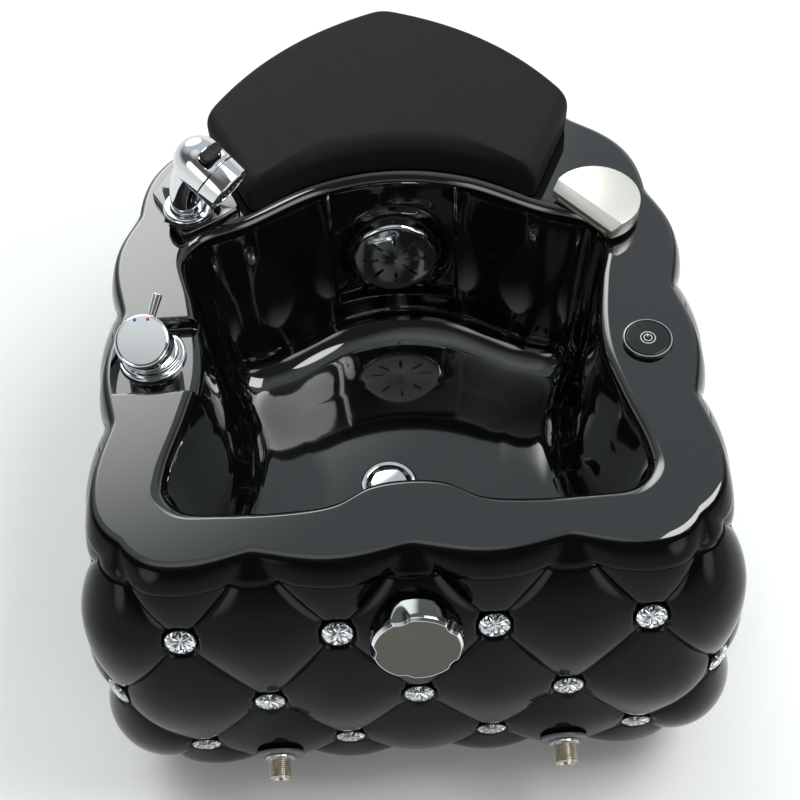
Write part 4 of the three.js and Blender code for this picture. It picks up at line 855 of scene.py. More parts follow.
class TubSurface:
    """Evaluates the tub's outside at any column and depth."""

    def __init__(self, form: TubForm) -> None:
        """Keep the form and its two outlines."""
        self.form = form
        self.rim = form.outline(False)
        self.belly = form.outline(True)

    def point(self, column: float, depth: float) -> Vector:
        """A point of the tufted surface."""
        return Vector(self.sheet(np.array([column]), [depth], [0])[0, 0])

    def outward(self, column: float, depth: float, step: float = 4) -> Vector:
        """Find where the surface faces, without its tufts.

        Args:
            column: the column number.
            depth: the depth below the rim.
            step: how far up and down the slope is taken.

        Returns:
            The outward direction.
        """
        belly, out = self.belly(column)
        rim = self.rim(column)[0]
        low = rim.lerp(belly, self.form.swell(depth + step))
        high = rim.lerp(belly, self.form.swell(depth - step))
        return Vector((out.x, out.y, (low - high).dot(out) / (2 * step))).normalized()

    def sheet(
        self,
        columns: np.ndarray,
        depths: Sequence[float],
        insets: Sequence[float],
        tufted: bool = True,
    ) -> np.ndarray:
        """Rows of surface points at several depths, each row moved in by its own inset.

        Args:
            columns: the column numbers.
            depths: depth of each row below the rim.
            insets: how far each row is moved in.
            tufted: whether the tufts are on it.

        Returns:
            Array of rows by columns by 3.
        """
        rim = np.array([[*p, *n] for p, n in map(self.rim, columns)])
        belly = np.array([[*p, *n] for p, n in map(self.belly, columns)])
        rows = []
        for depth, inset in zip(depths, insets):
            both = rim + (belly - rim) * self.form.swell(depth)
            out = both[:, 2:] / np.linalg.norm(both[:, 2:], axis=1, keepdims=True)
            high = self.form.puff(columns, depth) if tufted else np.zeros(len(columns))
            flat = both[:, :2] + out * (high - inset)[:, None]
            rows.append(level(flat, self.form.rim_height - depth))
        return np.array(rows)

    def edge(self, columns: np.ndarray, inset: float, tufted: bool = True) -> np.ndarray:
        """The rim's plan, moved in by an inset."""
        return self.sheet(columns, [0], [inset], tufted)[0][:, :2]


# ------------------------------------------------------------------------------ skirt and stones


@dataclass(frozen=True)
class Seat:
    """A flat place that a round fitting needs on the skirt."""

    point: Vector
    normal: Vector
    radius: float
    level: float
    blend: float
    reach: float = 40

    def press(self, points: np.ndarray) -> np.ndarray:
        """Push points that stand above the seat down to it, with a soft edge.

        Args:
            points: points of the skirt.

        Returns:
            The points after the push.
        """
        away = points - np.array(self.point)
        axis = np.array(self.normal)
        high = away @ axis
        radius = np.linalg.norm(away - high[:, None] * axis, axis=1)
        share = eased((self.radius + self.blend - radius) / self.blend)
        extra = np.clip(high - self.level, 0, None) * share * (np.abs(high) < self.reach)
        return points - extra[:, None] * axis


@dataclass
class Skirt:
    """The tufted outer shell with its crystal buttons."""

    form: TubForm
    surface: TubSurface
    steps: int = 48
    wall: float = 4
    top: float = 20.3
    bottom: float = 337
    back_depths: tuple[float, ...] = (337, 300, 240, 197, 140, 80, 20.3)
    stone_radius: float = 13
    stone_seat: float = 1.3
    stone_sides: int = 16
    foil_pleats: int = 11
    knob_depth: float = 57
    knob_tilt: float = 12.5
    knob_seat: float = 39.5
    inlet_x: float = 127
    inlet_depth: float = 242
    inlet_dip: float = 12
    inlet_seat: float = 22

    def knob_place(self) -> tuple[Vector, Vector]:
        """Where the drain knob sits and faces."""
        return self.surface.point(0, self.knob_depth), facing(-90, -self.knob_tilt)

    def inlet_place(self, side: int) -> tuple[Vector, Vector]:
        """Where a supply inlet sits and faces, -1 on the left and 1 on the right."""
        at = self.surface.point(side % self.form.columns, self.inlet_depth)
        at.x = side * self.inlet_x
        return at, facing(-90, self.inlet_dip)

    def buttons(self) -> list[tuple[Vector, Vector]]:
        """Place the buttons on the valleys.

        Returns:
            Each button's point and outward direction.
        """
        spots = [(i + (0.5 if row % 2 == 0 else 0), depth)
                 for row, depth in enumerate(self.form.row_depths[1:4])
                 for i in range(self.form.columns)]
        return [(self.surface.point(*spot), self.surface.outward(*spot)) for spot in spots]

    def seats(self) -> list[Seat]:
        """List the flat places that fittings need.

        Returns:
            The seats of knob, inlets and stones.
        """
        made = [Seat(*self.knob_place(), self.knob_seat, -1, 3)]
        made += [Seat(*self.inlet_place(side), self.inlet_seat, -1, 8) for side in (-1, 1)]
        made += [Seat(p, n, self.stone_radius + 0.4, -3, 2.5) for p, n in self.buttons()]
        return made

    def shell(self) -> Shape:
        """Join the tufted sheet, its inside and the edges between them.

        Returns:
            The closed skin, its outer quads split along the seams.
        """
        columns = np.arange(self.form.columns * self.steps) / self.steps
        first, last = self.form.row(self.top), self.form.row(self.bottom)
        start = math.ceil(first * self.steps + 0.3)
        rows = [first, *(r / self.steps for r in range(start, int(last * self.steps))), last]
        known = self.form.row_depths
        knots = [0.5 * i for i in range(len(known))]
        steep = (known[-1] - known[-2]) / 0.5
        depths = [float(np.interp(r, knots, known)) + max(0.0, r - knots[-1]) * steep for r in rows]
        outer = self.surface.sheet(columns, depths, [0] * len(depths))
        flat = outer.reshape(-1, 3)
        for seat in self.seats():
            flat = seat.press(flat)
        insets = [self.wall] * len(self.back_depths)
        inner = self.surface.sheet(columns, self.back_depths, insets, tufted=False)
        skin = grid(np.concatenate([flat.reshape(outer.shape), inner]), closed_columns=True)
        return Shape(skin.points, self._seamed(skin.faces, rows, len(columns)))

    def _seamed(self, faces: list, rows: list[float], width: int) -> list:
        """Split the quads so that their diagonals follow the seams.

        Args:
            faces: the skin's quads, row by row.
            rows: the tuft row of each outer row.
            width: how many quads a row has.

        Returns:
            The faces, triangles on the outside.
        """
        made = []
        for index, (a, b, c, d) in enumerate(faces):
            r, i = divmod(index, width)
            if r >= len(rows) - 1:
                made.append((a, b, c, d))
                continue
            column = (i + 0.5) / self.steps
            row = (rows[r] + rows[r + 1]) / 2
            falling = abs(math.sin(math.pi * (column - row)))
            rising = abs(math.sin(math.pi * (column + row)))
            made += [(a, b, c), (a, c, d)] if falling < rising else [(a, b, d), (b, c, d)]
        return made

    def build(self) -> None:
        """Make the shell and the stones."""
        # The skirt takes the darker gelcoat copy, a painted shade.
        shell = build("tufted_skirt_shell", self.shell(), [GELCOAT], smooth_angle=60)
        fit(shell, "tub", "gelcoat", "tufted_skirt")
        fronts = [f"crystal_{row}{i}" for row, count in (("a", 4), ("b", 3), ("c", 4))
                  for i in range(1, count + 1)]
        places = [(p + n * self.stone_seat, n) for p, n in self.buttons()]
        for name, shape, finish, nodes in (
            ("crystal_crowns", self._crown(), ACRYLIC, fronts),
            ("crystal_foils", self._foil(), FOIL, []),
            # The bezels' black is also a painted shadow ring round each stone.
            ("crystal_bezels", self._bezel_shadow_ring(), BLACK_ABS, []),
        ):
            fit(scatter(name, shape, places, finish), "tub", "crystal", *nodes)

    def _crown(self) -> Shape:
        """Make the stone's clear body.

        Returns:
            Girdle, two belts of facets and a table.
        """
        n, angles = self.stone_sides, turns(self.stone_sides)
        half = math.pi / n
        rings = [circle(12.6, -3.8, angles), circle(12.6, 1.0, angles),
                 circle(11.2, 2.4, angles + half), circle(8.6, 3.3, angles)]
        faces = [tuple(range(n - 1, -1, -1)), tuple(range(3 * n, 4 * n))]
        for i in range(n):
            j = (i + 1) % n
            faces += [
                (i, j, n + j, n + i),
                (n + i, n + j, 2 * n + i),
                (n + j, 2 * n + j, 2 * n + i),
                (2 * n + i, 2 * n + j, 3 * n + j),
                (2 * n + i, 3 * n + j, 3 * n + i),
            ]
        return Shape(np.vstack(rings), faces)

    def _foil(self) -> Shape:
        """Make the mirror facets inside the clear body.

        Returns:
            A pleated dish that shines in spokes.
        """
        n = 2 * self.foil_pleats
        angles = turns(n)
        fold = np.where(np.arange(n) % 2 == 0, 1.0, -1.0)
        rings = [circle(12.5, -3.7, angles), circle(12.5, 0.15 + 0.55 * fold, angles),
                 circle(7.0, -1.4 + 0.9 * fold, angles), np.array([[0, 0, -2.9]])]
        faces = [tuple(range(n - 1, -1, -1))]
        for i in range(n):
            j = (i + 1) % n
            faces += [
                (i, j, n + j, n + i),
                (n + i, n + j, 2 * n + j),
                (n + i, 2 * n + j, 2 * n + i),
                (2 * n + i, 2 * n + j, 3 * n),
            ]
        return Shape(np.vstack(rings), faces)

    def _bezel_shadow_ring(self) -> Shape:
        """Make the cup that holds the stone and fills the gap round it, black as a painted shadow
        ring.

        Returns:
            The cup.
        """
        r = self.stone_radius
        profile = [(r - 0.3, -2), (r + 0.3, -2), (r + 0.3, 0.9), (r, 1.3), (r - 0.35, 1.2),
                   (r - 0.35, 0.2), (r - 0.3, -2)]
        return revolve(rounded(profile, 0.3, 2), 40)


# ------------------------------------------------------------------------------ basin


@dataclass
class Basin:
    """The deck with its lip, the bowl, the mixer's sunk platform and the shower's raised one.

    Places in edge are (x, distance from the front) on the right half, from the front to the
    back. Places in profile are (depth, share of the way from the bowl's centre to its edge).
    """

    form: TubForm
    surface: TubSurface
    steps: int = 40
    wall: float = 5
    lip: float = 20
    bowl_depth: float = 200
    centre_at: float = 215
    hub: tuple[float, float] = (140, 268)
    edge: Profile = (
        (0, 57), (30, 53), (58, 38), (88, 33), (150, 33), (186, 37), (204, 56), (204, 80),
        (190, 135), (181, 180), (181, 215), (189, 268), (199, 316), (189, 343), (142, 364),
        (70, 403.5), (0, 416.5),
    )
    profile: Profile = (
        (200, 0.5), (197, 0.73), (187, 0.83), (166, 0.885), (130, 0.915), (16, 0.96),
        (7, 0.971), (2.2, 0.99), (0, 1.012),
    )
    deck_shares: tuple[float, ...] = (0.02, 0.06, 0.12, 0.25, 0.4, 0.55, 0.7, 0.82, 0.92)
    deck_insets: tuple[float, ...] = (7, 5.2, 4.5, 4.1)
    nose: Profile = (
        (4.0, 0.001), (3.7, 0.02), (3.0, 0.15), (2.0, 0.5), (1.1, 1.15), (0.45, 2.1), (0.1, 3.2),
    )
    panel_half: float = 62
    panel_recess: float = 4
    panel_depths: tuple[float, float] = (9, 152)
    platform_drop: float = 14
    platform_front: float = 163
    platform_back: float = 243
    platform_fade: float = 60
    jet_depth: float = 97
    jet_tilt: float = 5
    jet_bore: float = 28
    jet_seat: float = 58
    drain: tuple[float, float] = (-18, 185)
    drain_hole: float = 24.5
    dock_rise: float = 8
    dock_edge: float = 2.2
    dock_corners: tuple[Triple, ...] = (
        (-229, 396, 7), (-204, 353, 10), (-195, 338, 6), (-158, 360, 14), (-143, 371, 8),
        (-185, 472, 6), (-208, 440, 8),
    )

    def jet_place(self) -> tuple[Vector, Vector]:
        """Where the jet sits on the back wall and faces."""
        back = (self.edge[-1][1] - self.centre_at) * 0.93 + self.panel_recess
        y = self.form.y(self.centre_at) + back
        return Vector((0, y, self.form.rim_height - self.jet_depth)), facing(-90, -self.jet_tilt)

    def _edge_curve(self) -> np.ndarray:
        """Run a centripetal spline through the bowl's edge.

        Returns:
            Its points, round the bowl.
        """
        half = list(self.edge)
        ring = half + [(-x, at) for x, at in reversed(half[1:-1])]
        knots = [np.array((x, self.form.y(at))) for x, at in ring]
        count, made = len(knots), []

        def between(p: np.ndarray, q: np.ndarray, low: float, high: float, t: float) -> np.ndarray:
            """The point between p, which is at low, and q, which is at high."""
            return (high - t) / (high - low) * p + (t - low) / (high - low) * q

        for i in range(count):
            p = [knots[(i + k) % count] for k in (-1, 0, 1, 2)]
            u = np.cumsum([0, *(math.sqrt(np.linalg.norm(b - a)) for a, b in zip(p, p[1:]))])
            for t in np.linspace(u[1], u[2], 24, endpoint=False):
                a = [between(p[k], p[k + 1], u[k], u[k + 1], t) for k in range(3)]
                b = [between(a[k], a[k + 1], u[k], u[k + 2], t) for k in range(2)]
                made.append(between(b[0], b[1], u[1], u[2], t))
        return np.array(made)

    def _inner(self, outer: np.ndarray, curve: np.ndarray) -> np.ndarray:
        """Join each rim point to the bowl's edge, on a line from the hub.

        Args:
            outer: points of the rim.
            curve: points of the bowl's edge.

        Returns:
            The edge's point for each rim point.
        """
        low, high = map(self.form.y, self.hub)
        side = np.roll(curve, -1, axis=0) - curve
        made = []
        for point in outer:
            hub = np.array((0.0, min(max(point[1], low), high)))
            ray, gap = point - hub, curve - hub
            cross = ray[0] * side[:, 1] - ray[1] * side[:, 0]
            with np.errstate(divide="ignore", invalid="ignore"):
                along = (gap[:, 0] * side[:, 1] - gap[:, 1] * side[:, 0]) / cross
                share = (gap[:, 0] * ray[1] - gap[:, 1] * ray[0]) / cross
            hits = along[(share >= -1e-9) & (share <= 1 + 1e-9) & (along > 0)]
            made.append(hub + ray * hits.max())
        return np.array(made)

    def _columns(self) -> np.ndarray:
        """Choose the columns: evenly spaced, with close ones beside the sunk platform.

        Returns:
            The column numbers.
        """
        even = np.arange(self.form.columns * self.steps) / self.steps
        extra = [self._column_at(self.form.y(at) + step)
                 for at in (self.platform_front, self.platform_back)
                 for step in (-2.2, -1.0, -0.35, 0.0, 0.35, 1.0, 2.2)]
        return np.unique(np.concatenate([even, extra]))

    def _column_at(self, y: float) -> float:
        """Find a column on the left side by its Y.

        Args:
            y: the Y of its rim point.

        Returns:
            The column number.
        """
        low, high = 8.5, 14.2
        for _ in range(50):
            middle = (low + high) / 2
            if self.surface.rim(middle)[0].y > y:
                low = middle
            else:
                high = middle
        return (low + high) / 2

    def shell(self) -> Shape:
        """Join bowl, deck, nose and lip with their underside.

        Returns:
            The closed skin, its lip in the second finish: the skirt's darker gelcoat copy, a painted
            shade that makes the lip read as the skirt.
        """
        form, surface, top = self.form, self.surface, self.form.rim_height
        columns = self._columns()
        edge_line = surface.edge(columns, self.deck_insets[0])
        inner = self._inner(surface.edge(columns, 0, tufted=False), self._edge_curve())
        centre = np.array((0.0, form.y(self.centre_at)))
        drain = np.array((self.drain[0], form.y(self.drain[1])))
        ring = inner - drain
        ring = drain + ring / np.linalg.norm(ring, axis=1, keepdims=True) * self.drain_hole
        floor_ring = centre + (inner - centre) * self.profile[0][1]
        start = centre + (inner - centre) * self.profile[-1][1]
        bowl = [level(ring + (floor_ring - ring) * share, top - self.bowl_depth)
                for share in (0, 0.02, 0.3, 0.65)]
        bowl += [level(centre + (inner - centre) * share, top - depth)
                 for depth, share in self._bowl_rows()]
        deck = [level(start + (edge_line - start) * share, top) for share in self.deck_shares]
        deck += [level(surface.edge(columns, inset), top) for inset in self.deck_insets]
        nose_insets, drops = zip(*self.nose)
        lip = list(surface.sheet(columns, drops, nose_insets))
        lip += list(surface.sheet(columns, [4, 8, 12, 16, self.lip - 0.25, self.lip],
                                  [0, 0, 0, 0, 0, 0.2]))
        depths = top - np.array(bowl)[:, 0, 2]
        drop = self._recess(columns)
        for row in deck:
            row[:, 2] -= drop
        for row, depth in zip(bowl, depths):
            row[:, 2] -= drop * max(0.0, (self.platform_fade - depth) / self.platform_fade)
        points = self._wall_features(np.array(bowl + deck + lip))
        out = (inner - centre) / np.linalg.norm(inner - centre, axis=1, keepdims=True)
        deep = [k for k in reversed(range(len(bowl))) if depths[k] >= 30]
        under = self._underside(columns, inner, out, points[deep], depths[deep])
        skin = grid(np.concatenate([points, under]), closed_columns=True)
        # The nose's lower rows and the lip take the darker gelcoat copy: painted shade.
        plain = range(len(bowl) + len(deck) + 4, len(points) + 1)
        finish = [int(k // len(columns) in plain) for k in range(len(skin.faces))]
        return Shape(skin.points, skin.faces, finish)

    def _bowl_rows(self) -> list[tuple[float, float]]:
        """Space the bowl's rows closely and smoothly.

        Returns:
            Depth and share of each, from the floor's edge up to the deck.
        """
        depths, shares = np.array(self.profile).T
        steps = np.hypot(np.diff(depths), np.diff(shares) * self.bowl_depth)
        along = np.concatenate([[0], np.cumsum(steps)])
        fine = np.concatenate([np.linspace(0, along[5], 40)[:-1],
                               np.linspace(along[5], along[8], 14)])
        rows = zip(self._smooth(along, depths, fine), self._smooth(along, shares, fine))
        return [(float(max(depth, 0)), float(share)) for depth, share in rows]

    @staticmethod
    def _smooth(x: np.ndarray, y: np.ndarray, wanted: np.ndarray) -> np.ndarray:
        """Interpolate by a monotone cubic.

        Args:
            x: the known places, rising.
            y: the known values.
            wanted: the wanted places.

        Returns:
            The values there.
        """
        step = np.diff(y) / np.diff(x)
        product = step[:-1] * step[1:]
        inside = np.where(product > 0, 2 * product / (step[:-1] + step[1:] + 1e-12), 0)
        slope = np.concatenate([[step[0]], inside, [step[-1]]])
        i = np.clip(np.searchsorted(x, wanted, side="right") - 1, 0, len(x) - 2)
        span = x[i + 1] - x[i]
        t = (wanted - x[i]) / span
        return ((1 + 2 * t) * (1 - t) ** 2 * y[i] + t * (1 - t) ** 2 * span * slope[i]
                + t * t * (3 - 2 * t) * y[i + 1] + t * t * (t - 1) * span * slope[i + 1])

    def _recess(self, columns: np.ndarray) -> np.ndarray:
        """Sink the mixer's platform between its two steep sides.

        Args:
            columns: the column numbers.

        Returns:
            How far each column sinks.
        """
        front, back = self.form.y(self.platform_front), self.form.y(self.platform_back)
        x, y = self.surface.edge(columns, 0, tufted=False).T
        left = (x < 0) & (y > front - 3) & (y < back + 3)
        inside = np.minimum(y - front, back - y)
        share = np.interp(inside, [-1.1, -0.36, -0.001, 0.001, 0.36, 1.1],
                          [0, 0.04, 0.08, 0.93, 0.97, 1.0])
        return np.where(left, share, 0) * self.platform_drop

    def _wall_features(self, points: np.ndarray) -> np.ndarray:
        """Set the back panel in and flatten the wall for the jet.

        Args:
            points: rows of points.

        Returns:
            The same rows after both.
        """
        flat = points.reshape(-1, 3)
        depth = self.form.rim_height - flat[:, 2]
        back = (flat[:, 1] > self.form.y(self.centre_at) + 100) & (depth > 1)
        high_end, low_end = self.panel_depths
        across = np.clip((self.panel_half + 0.8 - np.abs(flat[:, 0])) / 1.6, 0, 1)
        down = np.clip((depth - high_end) / 3, 0, 1) * np.clip((low_end - depth) / 4, 0, 1)
        flat[:, 1] += np.where(back, self.panel_recess * across * down, 0)
        seat, normal = map(np.array, self.jet_place())
        away = flat - seat
        high = away @ normal
        radius = np.linalg.norm(away - high[:, None] * normal, axis=1)
        share = eased((self.jet_seat - radius) / 11) * (np.abs(high) < 25)
        return (flat - (high * share)[:, None] * normal).reshape(points.shape)

    def _underside(
        self,
        columns: np.ndarray,
        inner: np.ndarray,
        out: np.ndarray,
        bowl: np.ndarray,
        depths: np.ndarray,
    ) -> np.ndarray:
        """The skin's hidden side, from the lip back to the drain hole.

        Args:
            columns: the column numbers.
            inner: the bowl's edge under each column.
            out: direction away from the bowl's centre under each column.
            bowl: rows of the bowl's face, from the top down to the drain hole.
            depths: how deep each of these rows lies.

        Returns:
            Rows of points, a wall's thickness behind the face.
        """
        below = self.wall + self.platform_drop
        rows = list(self.surface.sheet(columns, [self.lip, below + 0.4, below], [4.6, 5, 6.5]))
        rows.append(level(inner + out * 6, self.form.rim_height - below))
        away, down = level(out, 0), np.array((0, 0, -1))
        for row, depth in zip(bowl, depths):
            turn = math.radians(90 * min(1.0, max(0.0, (depth - 130) / 70)))
            rows.append(row + self.wall * (away * math.cos(turn) + down * math.sin(turn)))
        return np.array(rows)

    def dock(self, count: int = 160) -> Shape:
        """Make the raised platform under the hand shower.

        Args:
            count: points round it.

        Returns:
            The platform, its upper edges softly rounded.
        """
        path = RoundedPath([(x, self.form.y(at), r) for x, at, r in self.dock_corners])
        spots = [path.at(path.length * i / count) for i in range(count)]
        base = np.array([p for p, _ in spots])
        out = np.array([(t.y, -t.x) for _, t in spots])
        low, high = self.form.rim_height - 1.5, self.form.rim_height + self.dock_rise
        rows = [level(base + out * 0.3, low)]
        for kept, rise in arc(self.dock_edge, 0, math.pi / 2, 7):
            rows.append(level(base - out * (self.dock_edge - kept), high - self.dock_edge + rise))
        return capped(rows)

    def build(self, holes: Sequence[tuple[float, float, float, float]]) -> None:
        """Make the shell and the dock platform, then bore them.

        Args:
            holes: x, y, radius and upper height of each bore through the deck.
        """
        # The second finish is the darker gelcoat copy on the lip: painted shade.
        shell = build("basin_shell", self.shell(), [LACQUERED_GELCOAT, GELCOAT], 50)
        dock = build("shower_platform", self.dock(), [LACQUERED_GELCOAT], 50)
        for x, y, radius, height in holes:
            profile = [(0, -30), (radius, -30), (radius, 30), (0, 30)]
            bore = revolve(profile, 64).moved(Matrix.Translation((x, y, height)))
            if height > self.form.rim_height:
                cut(dock, GELCOAT, bore)
            cut(shell, GELCOAT, bore)
        opening = [(0, -30), (self.jet_bore, -30), (self.jet_bore, 12), (0, 12)]
        opening = revolve(opening, 64).moved(axis_matrix(*self.jet_place()))
        cut(shell, GELCOAT, opening)
        fit(shell, "tub", "gelcoat", "basin_deck", "basin_bowl")
        fit(dock, "tub", "gelcoat", "basin_deck")


# ------------------------------------------------------------------------------ foot pad


@dataclass
class FootPad:
    """The moulded foam pad at the back of the deck."""

    form: TubForm
    thickness: float = 38
    seat: float = 0.3
    edge_radius: float = 6
    front_edge_radius: float = 14
    crown: float = 1.2
    crown_half: tuple[float, float] = (190, 125)
    front_radius: float = 205
    front_at: float = 416.5
    front_half: float = 134
    corner: tuple[float, float] = (178, 470)
    back_radius: float = 311
    back_at: float = 619
    middle_at: float = 500
    foot: Profile = ((4.0, 0), (2.2, 0.6), (1.2, 2.2), (0.8, 5), (0.3, 12))

    def outline(self, count: int = 360) -> np.ndarray:
        """Draw the pad: a hollow front arc, short slanting sides and two round backs.

        Args:
            count: points round it.

        Returns:
            The plan, evenly spaced.
        """
        y = self.form.y
        end = math.acos(self.front_half / self.front_radius)
        front = arc(self.front_radius, math.pi / 2, end, 60, y(self.front_at - self.front_radius))
        half = [np.array(point) for point in front]
        x, at = self.corner
        low, high = np.array((x - 3, y(at - 10))), np.array((x - 6, y(at + 9)))
        half += [half[-1] + (low - half[-1]) * t for t in np.linspace(0, 1, 20)[1:]]
        half += self._bend(low, np.array((x + 1, y(at - 1))), high, 16)
        tip = np.array((12, y(self.back_at - 3)))
        chord = tip - high
        sag = self.back_radius - math.sqrt(self.back_radius**2 - chord @ chord / 4)
        across = np.array((chord[1], -chord[0])) / np.linalg.norm(chord)
        half += self._bend(high, (high + tip) / 2 + across * 2 * sag, tip, 90)
        half += self._bend(tip, np.array((5, y(self.back_at))), np.array((0, y(self.back_at))), 10)
        half = np.array(half)
        ring = np.vstack([half, half[-2:0:-1] * (-1, 1), half[:1]])
        along = np.cumsum([0, *np.linalg.norm(np.diff(ring, axis=0), axis=1)])
        wanted = np.linspace(0, along[-1], count, endpoint=False)
        even = np.column_stack([np.interp(wanted, along, ring[:, k]) for k in (0, 1)])
        return self._blurred(even, 6)

    @staticmethod
    def _bend(start: np.ndarray, control: np.ndarray, end: np.ndarray, count: int) -> list:
        """Points of a quadratic curve, without its start."""
        return [start * (1 - t) ** 2 + control * 2 * t * (1 - t) + end * t * t
                for t in np.linspace(0, 1, count + 1)[1:]]

    @staticmethod
    def _blurred(values: np.ndarray, times: int) -> np.ndarray:
        """Values round a ring, each mixed with its neighbours several times."""
        for _ in range(times):
            values = (np.roll(values, 1, 0) + values * 2 + np.roll(values, -1, 0)) / 4
        return values

    def shape(self) -> Shape:
        """Raise the pad from its plan.

        Returns:
            The pad, its sides drawn in, its top edge softest in front and its top crowned.
        """
        base = self.outline()
        tangent = np.roll(base, -1, 0) - np.roll(base, 1, 0)
        tangent /= np.linalg.norm(tangent, axis=1, keepdims=True)
        middle = np.array((0.0, self.form.y(self.middle_at)))
        ray = middle - base
        ray /= np.linalg.norm(ray, axis=1, keepdims=True)
        slant = ray[:, 1] * tangent[:, 0] - ray[:, 0] * tangent[:, 1]
        ray *= self._blurred(1 / np.clip(slant, 0.45, 1), 12)[:, None]
        low = self.form.rim_height + self.seat
        share = eased((self.form.y(self.middle_at - 15) - base[:, 1]) / 30)
        roll = self.edge_radius + (self.front_edge_radius - self.edge_radius) * share
        rings = [level(base + ray * inset, low + rise) for inset, rise in self.foot]
        for angle in np.linspace(0.05, math.pi / 2, 12):
            inset, drop = roll * (1 - math.cos(angle)), roll * (1 - math.sin(angle))
            rings.append(level(base + ray * inset[:, None], low + self.thickness - drop))
        top = rings[-1]
        for share in np.linspace(0, 1, 26)[1:]:
            rings.append(level(middle + (top[:, :2] - middle) * (1 - share * 0.998), top[:, 2]))
        for ring in rings:
            wide = np.clip(1 - (ring[:, 0] / self.crown_half[0]) ** 2, 0, 1)
            long = np.clip(1 - ((ring[:, 1] - middle[1] - 20) / self.crown_half[1]) ** 2, 0, 1)
            ring[:, 2] += self.crown * wide * long * (ring[:, 2] - low) / self.thickness
        return capped(rings)

    def build(self) -> None:
        """Make the pad."""
        pad = build("moulded_foot_pad", self.shape(), [FOAM_SKIN], smooth_angle=80)
        fit(pad, "tub", "foam", "footrest_pad")


# ------------------------------------------------------------------------------ fittings


@dataclass
class Mixer:
    """The tilting single-lever mixer on its sunk platform."""

    place: Vector
    ball_height: float = 9
    ball_low: float = 1.9
    ball_radius: float = 21
    cap_radius: float = 24
    cap_top: float = 40
    cap_skirt: float = 12
    tilt: float = 27
    lever_turn: float = -17
    lever_out: float = 20.3
    lever_drop: float = 9
    dot_radius: float = 19.2
    dot_turn: float = 17

    def build(self) -> None:
        """Make the stepped rings, the ball, the cap with its marks and the lever."""
        here = Matrix.Translation(self.place)
        bore = self.ball_radius + 0.8
        rings = [(bore, 0.3), (30, 0.3), (30, 2.9), (28.6, 3.3), (27, 3.4), (27, 5.8),
                 (25.7, 6.2), (24.4, 6.4), (23.8, 8.4), (bore, 8.4), (bore, 0.3)]
        fit(lathe("mixer_stepped_ring", rings, CHROME, here, 0.5), "tub", "chrome",
            "mixer_base_ring")
        start = math.asin((self.ball_low - self.ball_height) / self.ball_radius)
        ball = arc(self.ball_radius, start, math.pi / 2, 28, self.ball_height)
        ball = revolve([(0, self.ball_low), *ball]).moved(here)
        fit(build("mixer_ball_cover", ball, [CHROME]), "mixer_ball", "chrome", "mixer_ball")
        tilted = here @ Matrix.Translation((0, 0, self.ball_height))
        tilted = tilted @ Matrix.Rotation(math.radians(self.tilt), 4, "X")
        cap = build("mixer_cap_cover", self._cap().moved(tilted), [CHROME, COLD_DOT, HOT_DOT], 40)
        fit(cap, "mixer_cap", "chrome", "mixer_cap")
        lever = tilted @ Matrix.Rotation(math.radians(self.lever_turn), 4, "Z")
        lever = lever @ Matrix.Translation((0, self.lever_out, self.cap_top - self.lever_drop))
        lever = lever @ Matrix.Rotation(-math.pi / 2, 4, "X")
        pin = [(0, 0), (3.3, 0), (3.4, 4), (4.2, 20), (4.3, 23.3), (3.7, 24), (0, 24)]
        fit(lathe("mixer_lever_pin", pin, CHROME, lever, 0.5, 48), "mixer_cap", "chrome",
            "mixer_lever")

    def _cap(self) -> Shape:
        """Make the cap upright, hollow over the ball.

        Returns:
            The cap with its cold and its hot dot.
        """
        hollow, r, top = self.ball_radius + 0.3, self.cap_radius, self.cap_top
        inside = arc(hollow, math.pi / 2, math.asin(self.cap_skirt / hollow), 10)
        side = [(r - 0.6, self.cap_skirt), (r, self.cap_skirt + 1.2), (r, top - 3.4),
                (r - 0.8, top - 1.2), (r - 2.8, top), (0, top)]
        parts = [revolve([*inside, *rounded(side, 1.2, 5)], 128)]
        for sign, number in ((-1, 1), (1, 2)):
            angle = math.radians(90 - sign * self.dot_turn)
            spot = Vector((math.cos(angle), math.sin(angle), 0)) * self.dot_radius
            dot = revolve([(0, -0.2), (1.5, -0.2), (1.5, 0.1), (0.9, 0.32), (0, 0.38)], 32)
            spot.z = top - 0.1
            parts.append(dot.painted(number).moved(Matrix.Translation(spot)))
        return merged(parts)


